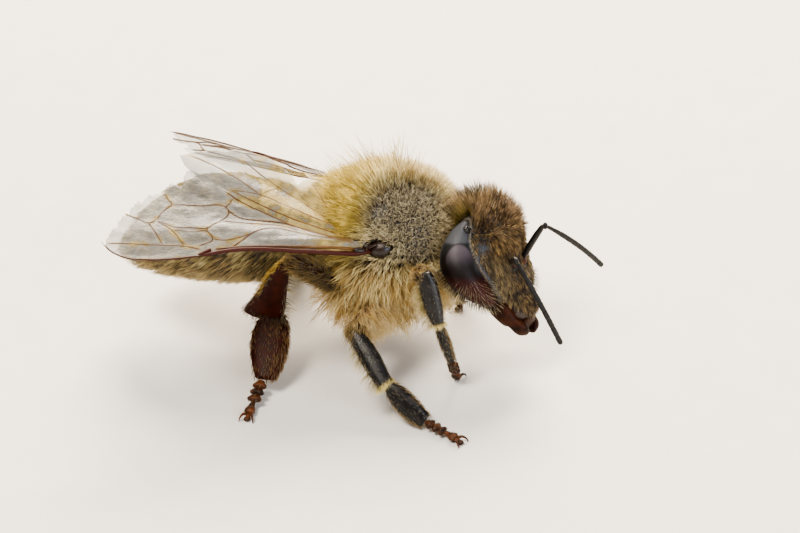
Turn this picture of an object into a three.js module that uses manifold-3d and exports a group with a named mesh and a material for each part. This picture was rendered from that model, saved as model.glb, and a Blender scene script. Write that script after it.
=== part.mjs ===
// Honey bee worker (Apis mellifera), life size, standing still on a flat surface.
// Millimetres. +X is the way the bee faces, +Y is its left, +Z is up.
// The solids reach out to the tips of the coat; wings, legs and feelers are at least
// half a millimetre thick, so that they can be handled as solids.
import * as THREE from 'three';
import { mergeVertices } from 'three/addons/utils/BufferGeometryUtils.js';
import Module from 'manifold-3d';

const wasm = await Module();
wasm.setup();

// ---- driving dimensions ----
const CLEARANCE = 0.04;            // gap left between neighbouring solids
const THINNEST = 0.5;              // least thickness of a wing, leg or feeler

const BODY_HEIGHT = 3.9;           // centre of the thorax above the ground
const BODY_PITCH = 1.2;            // degrees, head end down
const BODY_ROLL = -1.3;            // degrees, right side up

const THORAX_CENTRE = [0.4, 0, 0.05];
const THORAX_HALF = [2.75, 2.55, 2.85];   // half length, width and height with the coat
const SHOULDER_SQUARE = 0.06;             // how much fuller than an ellipsoid the thorax is

const ABDOMEN_CENTRE = [-5.3, 0, -0.1];
const ABDOMEN_HALF = [3.55, 2.0, 1.88];
const ABDOMEN_POINT = 0.63;        // power of the tail's taper, 0.5 is a plain ellipse
const ABDOMEN_DROOP = 0.085;       // how fast the axis bends down behind the middle, per mm

const HEAD_CENTRE = [3.445, -0.42, -0.287];
const HEAD_TURN = [-20.2, -13, -17.2]; // degrees: roll, pitch and yaw towards the right
const HEAD_HALF_WIDTH = 1.72;
const CROWN_HEIGHT = 2.2;
const CHIN_DEPTH = 2.0;
const FACE_DEPTH = 1.4;
const NAPE_DEPTH = 1.0;
const CHIN_FORWARD = 0.75;         // how far the mouth stands in front of the brow
const MUZZLE_CENTRE = [1.06, 0, -1.6];   // the bulging face plate over the mouth
const MUZZLE_HALF = [0.68, 0.74, 0.68];

const EYE_CENTRE = [-0.13, 1.47, -0.02];
const EYE_HALF = [0.65, 0.6, 1.4];
const EYE_LEAN = 0.4;              // how far the top leans back and the bottom forward
const EYE_BOW = 0.45;              // how far both ends bend towards the face
const EYE_TUCK = 0.4;              // how far both ends bend in towards the middle
const EYE_TAPER = 0.3;             // how much narrower than its middle the top is

const SOCKET = [1.22, 0.35, -0.1];
const FEELER_WIDTH = 0.5;
const FEELER_RIGHT = { elbow: [1.99, -1.52, 0.23], tip: [2.94, -0.43, -2.69] };
const FEELER_LEFT = { elbow: [2.11, 0.25, 1.12], tip: [2.84, 2.74, -0.58] };
const FEELER_BEND = 0.22;          // sideways bow of the lash

const JAW_HINGE = [0.7, 0.8, -1.35];
const JAW_TIP = [1.6, 0.2, -2.42];
const JAW_WIDTH = 0.6;
const TONGUE_TOP = [0.2, 0, -1.5];
const TONGUE_TIP = [0.74, 0, -2.22];
const TONGUE_WIDTH = 0.6;

const TEGULA_CENTRE = [0.25, 1.75, 0.62];
const TEGULA_HALF = [0.42, 0.32, 0.3];
const TEGULA_PARTING = 0.95;       // radius of the hollow in the coat round it

const WING_ROOT = [0.0, 1.65, 0.66];
const WING_TURN = {                // degrees: swing out, lift of the tip, slope down to the leading edge
  right: { swing: 26.2, lift: 11.4, slope: 22 },
  left: { swing: 24, lift: -3, slope: 25 },
};
const HINDWING_ROOT = [0.6, 0.25];
const HINDWING_ANGLE = 24.5;       // degrees between the two wings' leading edges
const HINDWING_LIFT = 9;           // degrees that its rear edge stands above the forewing's plane
const WEAR_DEPTH = 0.3;            // depth of the notches in the worn outer margin
const WEAR_PHASE = { right: 0.6, left: 2.1 };

// Joints of each leg on the ground's frame: hip, knee, heel of the tibia, heel of the foot, claws.
const LEG_JOINTS = {
  front_right: [[1.57, -0.56, 2.54], [1.7, -2.55, 4.25], [2.3, -3.0, 2.5], [2.65, -2.95, 1.1],
    [2.7, -2.3, 0]],
  mid_right: [[0.37, -1.03, 2.25], [-0.5, -3.58, 2.52], [0.82, -4.75, 1.2], [2.13, -5.25, 0.28],
    [3.4, -6.0, 0]],
  hind_right: [[-0.94, -1.14, 2.43], [-2.58, -2.55, 4.5], [-3.68, -2.05, 1.84], [-3.55, -3.8, 0.5],
    [-3.74, -5.44, 0]],
  front_left: [[1.57, 0.56, 2.5], [2.1, 2.6, 3.9], [2.3, 3.0, 2.1], [2.25, 2.5, 0.8], [2.0, 1.7, 0]],
  mid_left: [[0.37, 1.03, 2.2], [-0.1, 3.4, 3.4], [0.1, 4.5, 1.5], [0.5, 5.7, 0.35], [1.0, 6.8, 0]],
  hind_left: [[-0.94, 1.14, 2.4], [-2.5, 2.9, 4.1], [-3.6, 3.6, 1.5], [-4.5, 5.0, 0.4], [-5.1, 6.2, 0]],
};
// Widths of the femur, the tibia at knee and heel, the basitarsus and the foot.
const LEG_WIDTHS = {
  front: { femur: 0.8, knee: 0.54, heel: 0.62, metatarsus: 0.54, sole: 0.5, thickness: 0.52 },
  mid: { femur: 0.8, knee: 0.54, heel: 0.6, metatarsus: 0.62, sole: 0.54, thickness: 0.52 },
  hind: { femur: 0.85, knee: 0.58, heel: 1.2, metatarsus: 1.26, sole: 0.76, thickness: 0.56 },
};
const FEMUR_THICKNESS = 0.62;
const FOOT_WIDTHS = [0.5, 0.56, 0.5, 0.56, 0.5];
const FOOT_PAD = { radius: 0.27, height: 0.3 };
const LIMB_SIDES = 8;              // facets round a leg, feeler or mouthpart

const COLOURS = {
  coat: 0xa8925c,
  brown_coat: 0x6b5230,
  dark_coat: 0x4d4232,
  eye: 0x1d1716,
  black_chitin: 0x17130f,
  brown_chitin: 0x3a1f14,
  amber_chitin: 0x6a3c1e,
  membrane: 0xb9ad98,
};

const material = (colour, roughness) =>
  new THREE.MeshStandardMaterial({ color: COLOURS[colour], roughness, metalness: 0 });
const vector = (p) => new THREE.Vector3(...p);
const mirrored = (p, side) => [p[0], p[1] * side, p[2]];
const radians = THREE.MathUtils.degToRad;

// ---- solids ----
function closed(geometry) {
  // Only positions, with the doubled vertices of seams and poles merged.
  const bare = new THREE.BufferGeometry();
  bare.setAttribute('position', geometry.getAttribute('position').clone());
  if (geometry.index) bare.setIndex(geometry.index.clone());
  return mergeVertices(bare, 1e-4);
}

function manifoldOf(geometry, matrix) {
  const merged = closed(geometry);
  if (matrix) merged.applyMatrix4(matrix);
  return new wasm.Manifold(new wasm.Mesh({
    numProp: 3,
    vertProperties: new Float32Array(merged.attributes.position.array),
    triVerts: new Uint32Array(merged.index.array),
  }));
}

function geometryOf(solid) {
  // The largest piece of a solid, as a three.js geometry.
  const pieces = solid.decompose();
  pieces.sort((a, b) => b.volume() - a.volume());
  const mesh = pieces[0].getMesh();
  const geometry = new THREE.BufferGeometry();
  const places = new Float32Array(mesh.vertProperties);
  geometry.setAttribute('position', new THREE.BufferAttribute(places, 3));
  geometry.setIndex(new THREE.BufferAttribute(new Uint32Array(mesh.triVerts), 1));
  geometry.computeVertexNormals();
  return geometry;
}

function grown(geometry, amount) {
  // The same shape with its surface moved outwards along its normals.
  const shape = closed(geometry);
  shape.computeVertexNormals();
  const place = shape.getAttribute('position');
  const normal = shape.getAttribute('normal');
  for (let i = 0; i < place.count; i++) {
    place.setXYZ(
      i,
      place.getX(i) + normal.getX(i) * amount,
      place.getY(i) + normal.getY(i) * amount,
      place.getZ(i) + normal.getZ(i) * amount,
    );
  }
  return shape;
}

function clearOf(mesh, neighbours, gap = CLEARANCE) {
  // Cuts a mesh back so that it meets its neighbours across the clearance.
  mesh.updateWorldMatrix(true, false);
  const toLocal = mesh.matrixWorld.clone().invert();
  let solid = manifoldOf(mesh.geometry);
  for (const neighbour of neighbours) {
    neighbour.updateWorldMatrix(true, false);
    const matrix = toLocal.clone().multiply(neighbour.matrixWorld);
    solid = solid.subtract(manifoldOf(grown(neighbour.geometry, gap), matrix));
  }
  mesh.geometry = geometryOf(solid);
}

function blob(shape, around = 20, along = 14) {
  // A unit sphere whose every point is moved by the given function.
  const sphere = closed(new THREE.SphereGeometry(1, around, along));
  const place = sphere.getAttribute('position');
  const point = new THREE.Vector3();
  for (let i = 0; i < place.count; i++) {
    point.fromBufferAttribute(place, i);
    place.setXYZ(i, ...shape(point));
  }
  return sphere;
}

const ellipsoid = (half, around = 10, along = 8) =>
  blob((p) => [p.x * half[0], p.y * half[1], p.z * half[2]], around, along);

function limb(length, widths, thickness) {
  // A rounded, flattened rod along +Y: widths are its full widths at equal steps.
  const last = widths.length - 1;
  const profile = [new THREE.Vector2(0, 0), new THREE.Vector2(widths[0] * 0.34, 0)];
  const ends = Math.min(0.14, length * 0.12);
  widths.forEach((width, i) => {
    const y = ends + (length - 2 * ends) * (i / last);
    profile.push(new THREE.Vector2(width / 2, y));
  });
  profile.push(new THREE.Vector2(widths[last] * 0.34, length), new THREE.Vector2(0, length));
  const geometry = new THREE.LatheGeometry(profile, LIMB_SIDES);
  const widest = Math.max(...widths);
  geometry.scale(1, 1, thickness / widest);
  return closed(geometry);
}

function between(mesh, start, end, broad) {
  // Stands a limb's mesh from one joint to the next, its width along the broad direction.
  const axis = vector(end).sub(vector(start)).normalize();
  const across = vector(broad);
  across.addScaledVector(axis, -across.dot(axis)).normalize();
  const through = new THREE.Vector3().crossVectors(across, axis);
  mesh.position.set(...start);
  mesh.quaternion.setFromRotationMatrix(new THREE.Matrix4().makeBasis(across, axis, through));
  return mesh;
}

const distance = (a, b) => vector(a).distanceTo(vector(b));

function named(name, geometry, finish) {
  const mesh = new THREE.Mesh(geometry, finish);
  mesh.name = name;
  return mesh;
}

// ---- the trunk ----
function thoraxShape(p) {
  const fuller = 1 + SHOULDER_SQUARE * (1 - p.x ** 4 - p.y ** 4 - p.z ** 4);
  return [p.x, p.y, p.z].map((value, i) => value * THORAX_HALF[i] * fuller);
}

function abdomenShape(p) {
  const round = Math.sqrt(Math.max(1e-9, 1 - p.x * p.x));
  const taper = p.x < 0 ? (1 - p.x * p.x) ** ABDOMEN_POINT / round : 1;
  const behind = Math.max(0, -p.x) * ABDOMEN_HALF[0];
  return [
    p.x * ABDOMEN_HALF[0],
    p.y * ABDOMEN_HALF[1] * taper,
    p.z * ABDOMEN_HALF[2] * taper - ABDOMEN_DROOP * behind ** 2,
  ];
}

// ---- the head, in its own frame: +X out of the face, +Y to its left, +Z to the crown ----
function headShape(p) {
  const chin = Math.max(0, -p.z);
  const width = HEAD_HALF_WIDTH * (1 - 0.36 * chin ** 1.6);
  const depth = p.x > 0 ? FACE_DEPTH : NAPE_DEPTH * (1 - 0.25 * chin);
  return [
    p.x * depth + CHIN_FORWARD * chin,
    p.y * width,
    p.z * (p.z > 0 ? CROWN_HEIGHT : CHIN_DEPTH),
  ];
}

function skullGeometry() {
  const muzzle = ellipsoid(MUZZLE_HALF, 12, 8);
  muzzle.translate(...MUZZLE_CENTRE);
  return geometryOf(manifoldOf(blob(headShape, 16, 13)).add(manifoldOf(muzzle)));
}

function eyeShape(p, side) {
  // A bean standing on end, pointed at the top, its ends bent round the head.
  const full = 1 - EYE_TAPER * p.z;
  return [
    p.x * EYE_HALF[0] * full - EYE_LEAN * p.z + EYE_BOW * p.z ** 2,
    p.y * EYE_HALF[1] * full - side * EYE_TUCK * p.z ** 2,
    p.z * EYE_HALF[2],
  ];
}

function lash(elbow, tip, bow) {
  // The long outer part of a feeler, slightly bowed, from the elbow to its round tip.
  const start = vector(elbow);
  const end = vector(tip);
  const middle = start.clone().lerp(end, 0.45).add(vector(bow));
  const curve = new THREE.QuadraticBezierCurve3(start, middle, end);
  const section = new THREE.Shape();
  section.absarc(0, 0, FEELER_WIDTH / 2, 0, Math.PI * 2);
  return closed(new THREE.ExtrudeGeometry(section, {
    extrudePath: curve, steps: 6, curveSegments: 4, bevelEnabled: false,
  }));
}

// ---- the wings, drawn flat: u out along the wing, v from the leading to the rear edge ----
function forewingOutline(wearPhase) {
  const leading = new THREE.SplineCurve([
    new THREE.Vector2(0.15, -0.3), new THREE.Vector2(2.4, -0.27), new THREE.Vector2(4.9, -0.3),
    new THREE.Vector2(6.1, -0.52), new THREE.Vector2(7.6, -0.66), new THREE.Vector2(8.6, -0.5),
    new THREE.Vector2(9.15, 0),
  ]).getPoints(16);
  const rear = new THREE.SplineCurve([
    new THREE.Vector2(5.95, 2.95), new THREE.Vector2(5.2, 2.6), new THREE.Vector2(4.7, 2.2),
    new THREE.Vector2(3.2, 1.15), new THREE.Vector2(1.5, 0.4), new THREE.Vector2(0.15, 0.22),
  ]).getPoints(12);
  return [...leading, ...wornMargin(new THREE.Vector2(9.15, 0), rear[0], wearPhase), ...rear];
}

function wornMargin(from, to, phase) {
  // A straight outer margin gnawed into uneven notches.
  const notches = [];
  const across = to.clone().sub(from).normalize();
  const inwards = new THREE.Vector2(-across.y, across.x);
  const steps = 11;
  for (let i = 1; i < steps; i++) {
    const depth = WEAR_DEPTH * (0.5 + 0.5 * Math.sin(i * 2.3 + phase)) * (i % 2 ? 1 : 0.35);
    notches.push(from.clone().lerp(to, i / steps).addScaledVector(inwards, depth));
  }
  return notches;
}

function hindwingOutline() {
  return new THREE.SplineCurve([
    new THREE.Vector2(0, 0), new THREE.Vector2(2, -0.1), new THREE.Vector2(4.5, 0.1),
    new THREE.Vector2(6.1, 0.55), new THREE.Vector2(6.0, 1.0), new THREE.Vector2(5.0, 1.6),
    new THREE.Vector2(3.8, 1.75), new THREE.Vector2(2.75, 1.45), new THREE.Vector2(2.25, 1.15),
    new THREE.Vector2(1.7, 1.4), new THREE.Vector2(1.1, 1.15), new THREE.Vector2(0.2, 0.55),
  ]).getPoints(34);
}

function wingSlab(outline, side) {
  const shape = new THREE.Shape(outline.map((p) => new THREE.Vector2(p.x, p.y * side)));
  const slab = new THREE.ExtrudeGeometry(shape, { depth: THINNEST, bevelEnabled: false, curveSegments: 1 });
  slab.translate(0, 0, -THINNEST / 2);
  return closed(slab);
}

// ---- the legs ----
function legMeshes(name, joints) {
  const size = LEG_WIDTHS[name.split('_')[0]];
  const [hip, knee, heel, sole, claws] = joints;
  const forward = [1, 0, 0];
  const black = material('black_chitin', 0.4);
  const brown = material('brown_chitin', 0.45);
  const amber = material('amber_chitin', 0.45);
  const hind = name.startsWith('hind');
  const pieces = [
    ['femur', hip, knee, [size.femur, size.femur, size.knee], FEMUR_THICKNESS, brown],
    ['tibia', knee, heel, [size.knee, size.knee * 0.4 + size.heel * 0.6, size.heel], size.thickness,
      hind ? brown : black],
    ['basitarsus', heel, sole, [size.metatarsus, size.metatarsus, size.metatarsus * 0.5 + size.sole * 0.5,
      size.sole], size.thickness, hind ? brown : black],
    ['tarsus', sole, claws, FOOT_WIDTHS, THINNEST, amber],
  ];
  return pieces.map(([segment, start, end, widths, thickness, finish]) => {
    const geometry = limb(distance(start, end), widths, thickness);
    const mesh = named(`leg_${name}_${segment}`, geometry, finish);
    return between(mesh, start, end, forward);
  });
}

function footOnGround(mesh, claws) {
  // Joins the foot's pad to the tarsus and cuts both flat where they rest on the ground.
  const pad = new THREE.CylinderGeometry(FOOT_PAD.radius * 0.7, FOOT_PAD.radius, FOOT_PAD.height, 10);
  pad.rotateX(Math.PI / 2);
  pad.translate(claws[0], claws[1], FOOT_PAD.height / 2);
  const under = new THREE.BoxGeometry(4, 4, 2);
  under.translate(claws[0], claws[1], -1);
  mesh.updateWorldMatrix(true, false);
  const foot = manifoldOf(mesh.geometry, mesh.matrixWorld).add(manifoldOf(pad));
  const solid = foot.subtract(manifoldOf(under));
  mesh.geometry = geometryOf(solid);
  mesh.position.set(0, 0, 0);
  mesh.quaternion.identity();
}

// ---- the scene graph ----
const bee = new THREE.Group();
const body = new THREE.Group();
body.position.set(0, 0, BODY_HEIGHT);
body.rotation.set(radians(BODY_ROLL), radians(BODY_PITCH), 0, 'YXZ');
bee.add(body);

const thorax = named('thorax', blob(thoraxShape, 18, 13), material('coat', 0.95));
thorax.position.set(...THORAX_CENTRE);
const abdomen = named('abdomen', blob(abdomenShape, 18, 16), material('dark_coat', 0.85));
abdomen.position.set(...ABDOMEN_CENTRE);
const head = new THREE.Group();
head.position.set(...HEAD_CENTRE);
head.rotation.set(...HEAD_TURN.map(radians), 'ZYX');
const skull = named('head', skullGeometry(), material('brown_coat', 0.9));
const tongue = named('proboscis',
  limb(distance(TONGUE_TOP, TONGUE_TIP), [TONGUE_WIDTH, TONGUE_WIDTH, THINNEST], THINNEST),
  material('brown_chitin', 0.4));
between(tongue, TONGUE_TOP, TONGUE_TIP, [0, 1, 0]);
head.add(skull, tongue);
body.add(thorax, abdomen, head);

const hollows = [];
const pairs = {};
for (const [handed, side] of [['right', -1], ['left', 1]]) {
  const eye = named(`eye_${handed}`, blob((p) => eyeShape(p, side), 14, 10), material('eye', 0.25));
  eye.position.set(...mirrored(EYE_CENTRE, side));

  const feeler = handed === 'right' ? FEELER_RIGHT : FEELER_LEFT;
  const socket = mirrored(SOCKET, side);
  const scape = named(`antenna_${handed}_scape`,
    limb(distance(socket, feeler.elbow), [FEELER_WIDTH, FEELER_WIDTH], FEELER_WIDTH),
    material('black_chitin', 0.45));
  between(scape, socket, feeler.elbow, [0, 1, 0]);
  const flagellum = named(`antenna_${handed}_flagellum`,
    lash(feeler.elbow, feeler.tip, [FEELER_BEND, side * FEELER_BEND, 0]), material('black_chitin', 0.6));

  const hinge = mirrored(JAW_HINGE, side);
  const jawTip = mirrored(JAW_TIP, side);
  const mandible = named(`mandible_${handed}`,
    limb(distance(hinge, jawTip), [JAW_WIDTH, JAW_WIDTH, THINNEST], THINNEST),
    material('brown_chitin', 0.3));
  between(mandible, hinge, jawTip, [0, 1, 0]);
  head.add(eye, scape, flagellum, mandible);

  const tegula = named(`tegula_${handed}`, ellipsoid(TEGULA_HALF), material('black_chitin', 0.3));
  tegula.position.set(...mirrored(TEGULA_CENTRE, side));
  const hollow = new THREE.Mesh(ellipsoid([TEGULA_PARTING, TEGULA_PARTING, TEGULA_PARTING * 0.8]));
  const outside = TEGULA_CENTRE[1] + TEGULA_PARTING * 0.75;
  hollow.position.set(...mirrored([TEGULA_CENTRE[0], outside, TEGULA_CENTRE[2]], side));
  body.add(tegula);

  const turn = WING_TURN[handed];
  const wing = new THREE.Group();
  wing.position.set(...mirrored(WING_ROOT, side));
  const swing = Math.PI - side * radians(turn.swing);
  wing.rotation.set(radians(turn.slope) * side, radians(-turn.lift), swing, 'ZYX');
  const foreSlab = wingSlab(forewingOutline(WEAR_PHASE[handed]), side);
  const forewing = named(`forewing_${handed}`, foreSlab, material('membrane', 0.35));
  const hindSlab = wingSlab(hindwingOutline(), side);
  const hindwing = named(`hindwing_${handed}`, hindSlab, material('membrane', 0.35));
  hindwing.position.set(HINDWING_ROOT[0], HINDWING_ROOT[1] * side, 0);
  hindwing.rotation.set(radians(HINDWING_LIFT) * side, 0, radians(HINDWING_ANGLE) * side, 'ZYX');
  wing.add(forewing, hindwing);
  body.add(wing);
  body.updateWorldMatrix(true, true);
  hollow.applyMatrix4(body.matrixWorld);
  hollows.push(hollow);
  pairs[handed] = { eye, scape, flagellum, mandible, tegula, forewing, hindwing };
}

const legs = Object.entries(LEG_JOINTS).map(([name, joints]) => {
  const meshes = legMeshes(name, joints);
  bee.add(...meshes);
  return meshes;
});
bee.updateMatrixWorld(true);

// ---- fitting the pieces to each other ----
Object.values(LEG_JOINTS).forEach((joints, i) => footOnGround(legs[i][3], joints[4]));
for (const [femur, tibia, basitarsus, tarsus] of legs) {
  clearOf(tarsus, [basitarsus]);
  clearOf(basitarsus, [tibia]);
  clearOf(tibia, [femur]);
}
const femurs = legs.map((leg) => leg[0]);
for (const { scape, flagellum, mandible, tegula, forewing, hindwing } of Object.values(pairs)) {
  clearOf(flagellum, [scape]);
  clearOf(mandible, [tongue]);
  clearOf(hindwing, [forewing]);
  clearOf(forewing, [tegula]);
  clearOf(hindwing, [tegula]);
}
clearOf(pairs.left.mandible, [pairs.right.mandible]);
const faceParts = Object.values(pairs).flatMap((pair) => [pair.eye, pair.scape, pair.mandible]);
clearOf(skull, [...faceParts, tongue]);
clearOf(abdomen, [thorax, ...femurs]);
const sunk = Object.values(pairs).flatMap((pair) => [pair.eye, pair.tegula, pair.forewing, pair.hindwing]);
clearOf(thorax, [skull, ...femurs, legs[0][1], legs[3][1], ...sunk]);
clearOf(thorax, hollows, 0);

// ---- origin at the middle of the footprint, on the ground ----
const box = new THREE.Box3().setFromObject(bee, true);
const middle = box.getCenter(new THREE.Vector3());
const placed = new THREE.Group();
placed.position.set(-middle.x, -middle.y, -box.min.z);
placed.add(bee);
placed.updateMatrixWorld(true);

export default placed;
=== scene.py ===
"""A worker honey bee, still and life-size, standing with its head turned and its wings half open.

Shapes are worked out in millimetres in the frames of the trunk, head, wings and limbs, and each
finished piece has its place in its mesh, in metres, in the frame of the solids that it replaces.
"""
import math

import bmesh
import bpy
import numpy as np
from bpy.props import FloatProperty, FloatVectorProperty, IntProperty, PointerProperty
from mathutils import Matrix, Vector, kdtree, noise


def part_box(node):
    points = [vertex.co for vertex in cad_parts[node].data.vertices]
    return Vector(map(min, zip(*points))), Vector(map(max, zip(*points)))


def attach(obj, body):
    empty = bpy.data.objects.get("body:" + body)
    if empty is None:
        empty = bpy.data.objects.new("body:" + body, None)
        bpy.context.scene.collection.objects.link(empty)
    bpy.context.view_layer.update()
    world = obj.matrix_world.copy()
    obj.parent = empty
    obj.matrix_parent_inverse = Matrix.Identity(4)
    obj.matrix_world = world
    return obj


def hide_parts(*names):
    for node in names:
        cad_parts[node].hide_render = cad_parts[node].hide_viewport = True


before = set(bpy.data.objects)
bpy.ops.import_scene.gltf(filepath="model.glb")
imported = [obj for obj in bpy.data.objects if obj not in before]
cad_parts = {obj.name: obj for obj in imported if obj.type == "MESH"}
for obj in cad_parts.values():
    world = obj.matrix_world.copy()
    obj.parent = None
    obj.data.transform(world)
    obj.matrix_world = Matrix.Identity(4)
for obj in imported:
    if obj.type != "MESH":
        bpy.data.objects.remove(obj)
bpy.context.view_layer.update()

bl_info = {
    "name": "Honey bee",
    "version": (1, 0, 0),
    "blender": (4, 5, 0),
    "location": "3D View > Sidebar > Bee",
    "description": "Builds a still, life-size worker honey bee with its coat, wings and legs",
    "category": "Add Mesh",
}

MM = 0.001
HANDS = {"right": -1, "left": 1}

# ---- driving sizes in millimetres and degrees, as the solids have them ----
BODY_HEIGHT = 3.9                     # centre of the thorax above the ground
BODY_TURN = (-1.3, 1.2, 0.0)          # roll, pitch and yaw
THORAX_CENTRE = (0.4, 0.0, 0.05)
THORAX_SKIN = (2.05, 1.8, 1.95)       # half length, width and height under the coat
ABDOMEN_CENTRE = (-5.3, 0.0, -0.1)
ABDOMEN_SKIN = (3.4, 1.8, 1.65)
ABDOMEN_POINT = 0.63                  # power of the tail's taper, 0.5 is a plain ellipse
ABDOMEN_DROOP = 0.085                 # how fast the axis bends down behind the middle, per mm
TERGITES = (-2.75, -4.0, -5.25, -6.4, -7.4, -8.25, -9.0)   # rear margins of the abdomen's rings
HEAD_CENTRE = (3.445, -0.42, -0.287)
HEAD_TURN = (-20.2, -13.0, -17.2)
SKULL = {"width": 1.62, "crown": 1.75, "chin": 1.82, "face": 1.2, "nape": 0.85, "forward": 0.72}
EYE_CENTRE = (-0.13, 1.47, -0.02)
EYE_HALF = (0.65, 0.6, 1.4)
EYE_LEAN, EYE_BOW, EYE_TUCK, EYE_TAPER = 0.4, 0.45, 0.4, 0.3
SOCKET = (1.22, 0.35, -0.1)
ELBOW = {"right": (1.99, -1.52, 0.23), "left": (2.11, 0.25, 1.12)}
FEELER_TIP = {"right": (2.94, -0.43, -2.69), "left": (2.84, 2.74, -0.58)}
FEELER_BEND = 0.22
MUZZLE_CENTRE, MUZZLE_SKIN = (1.04, 0.0, -1.5), (0.6, 0.68, 0.68)
JAW_HINGE, JAW_TIP = (0.7, 0.8, -1.35), (1.6, 0.2, -2.42)
TONGUE_TOP, TONGUE_TIP = (0.2, 0.0, -1.5), (0.74, 0.0, -2.22)
OCELLI = ((0.34, 0.0, 1.68), (0.1, -1.29, 1.12), (0.1, 1.29, 1.12))
VERTEX_PATCH = (0.74, -0.42, 1.22)     # where the crown's hair is rubbed off
TEMPLE = (0.62, 1.29, 0.56)           # bare skin beside the top of each eye
# Half sizes and centres of the plate behind the thorax's top, the neck and the waist.
SCUTELLUM = ((0.5, 0.8, 0.42), (-1.15, 0, 1.12))
NECK = ((0.9, 0.5, 0.55), (2.5, -0.2, -0.25))
WAIST = ((0.8, 0.42, 0.45), (-1.95, 0, -0.15))
COXA_SKIN, COXA_RISE = (0.45, 0.42, 0.62), 0.15
SKIN_VOXEL = 0.05                     # fineness of the skin, well under the width of a ring's margin
RING_HEIGHT, SHIELD_HEIGHT, SOCKET_HEIGHT, ORBIT_HEIGHT = 0.06, 0.07, 0.04, 0.03
LIP_HALF, LIP_CENTRE = (0.1, 0.34, 0.2), (1.53, 0, -2.03)
TEGULA_CENTRE = (0.25, 1.75, 0.62)
WING_ROOT = (0.0, 1.65, 0.66)
WING_TURN = {"right": (26.2, 11.4, 22.0), "left": (24.0, -3.0, 25.0)}   # swing, lift and slope
HINDWING_ROOT, HINDWING_ANGLE, HINDWING_LIFT = (0.6, 0.25), 24.5, 9.0

# Joints of each leg on the ground's frame: hip, knee, heel of the tibia, sole, claws.
LEG_JOINTS = {
    "front_right": ((1.57, -0.56, 2.54), (1.7, -2.55, 4.25), (2.3, -3.0, 2.5), (2.65, -2.95, 1.1),
                    (2.7, -2.3, 0)),
    "mid_right": ((0.37, -1.03, 2.25), (-0.5, -3.58, 2.52), (0.82, -4.75, 1.2), (2.13, -5.25, 0.28),
                  (3.4, -6.0, 0)),
    "hind_right": ((-0.94, -1.14, 2.43), (-2.58, -2.55, 4.5), (-3.68, -2.05, 1.84),
                   (-3.55, -3.8, 0.5), (-3.74, -5.44, 0)),
    "front_left": ((1.57, 0.56, 2.5), (2.1, 2.6, 3.9), (2.3, 3.0, 2.1), (2.25, 2.5, 0.8),
                   (2.0, 1.7, 0)),
    "mid_left": ((0.37, 1.03, 2.2), (-0.1, 3.4, 3.4), (0.1, 4.5, 1.5), (0.5, 5.7, 0.35),
                 (1.0, 6.8, 0)),
    "hind_left": ((-0.94, 1.14, 2.4), (-2.5, 2.9, 4.1), (-3.6, 3.6, 1.5), (-4.5, 5.0, 0.4),
                  (-5.1, 6.2, 0)),
}

# ---- camera: how the bee is seen ----
CAMERA = {"turn": 12.0, "height": 33.0, "roll": 3.3, "distance": 170.0, "aside": 0.526, "down": 0.997}
LENS, SENSOR = 232.56, 36.0
FLOOR_HALF = 1.5                      # half the floor's side in metres


def placed(x, y, z, roll=0.0, pitch=0.0, yaw=0.0):
    """A frame at a point of its parent, turned about X, then Y, then Z."""
    turned = (Matrix.Rotation(math.radians(yaw), 4, "Z")
              @ Matrix.Rotation(math.radians(pitch), 4, "Y")
              @ Matrix.Rotation(math.radians(roll), 4, "X"))
    return Matrix.Translation((x, y, z)) @ turned


def ground_frame():
    """The legs' frame: the trunk stands over its origin, found from the two wing scales."""
    corners = [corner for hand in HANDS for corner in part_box(f"tegula_{hand}")]
    middle = sum(corners, Vector()) / (len(corners) * MM)
    trunk = placed(0, 0, BODY_HEIGHT, *BODY_TURN)
    shift = middle - trunk @ Vector((TEGULA_CENTRE[0], 0, TEGULA_CENTRE[2]))
    return Matrix.Translation((shift.x, shift.y, 0))


def wing_frame(hand):
    side = HANDS[hand]
    swing, lift, slope = WING_TURN[hand]
    return BODY @ placed(WING_ROOT[0], side * WING_ROOT[1], WING_ROOT[2],
                         side * slope, -lift, 180 - side * swing)


def hindwing_frame(hand):
    side = HANDS[hand]
    return wing_frame(hand) @ placed(HINDWING_ROOT[0], side * HINDWING_ROOT[1], 0,
                                     side * HINDWING_LIFT, 0, side * HINDWING_ANGLE)


def handed(point, side):
    """A point that is given on the left, or its mirror image on the right."""
    return point[0], side * point[1], point[2]


def limb_frame(start, end, broad=(1, 0, 0)):
    """A limb's own frame: +Y along it, +X across its broad face, +Z through it."""
    axis = (Vector(end) - Vector(start)).normalized()
    across = (Vector(broad) - axis * axis.dot(Vector(broad))).normalized()
    through = across.cross(axis)
    turned = Matrix((across, axis, through)).transposed().to_4x4()
    return Matrix.Translation(start) @ turned


GROUND = ground_frame()
BODY = GROUND @ placed(0, 0, BODY_HEIGHT, *BODY_TURN)
HEAD_IN_BODY = placed(*HEAD_CENTRE, *HEAD_TURN)
HEAD = BODY @ HEAD_IN_BODY


# ---- sums on rows of numbers ----
def unit(rows):
    return rows / np.maximum(np.linalg.norm(rows, axis=-1, keepdims=True), 1e-9)


def rise(values, low, high):
    """0 below low, 1 above high, smooth between."""
    share = np.clip((values - low) / (high - low), 0, 1)
    return share * share * (3 - 2 * share)


def mix(first, second, share):
    """From the first value or row to the second; a share for each row suits rows too."""
    first, second, share = (np.asarray(values, float) for values in (first, second, share))
    if share.ndim == 1 and max(first.ndim, second.ndim) == 2:
        share = share[:, None]
    return first + (second - first) * share


def moved(rows, matrix):
    matrix = np.array(matrix)
    return rows @ matrix[:3, :3].T + matrix[:3, 3]


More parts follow.
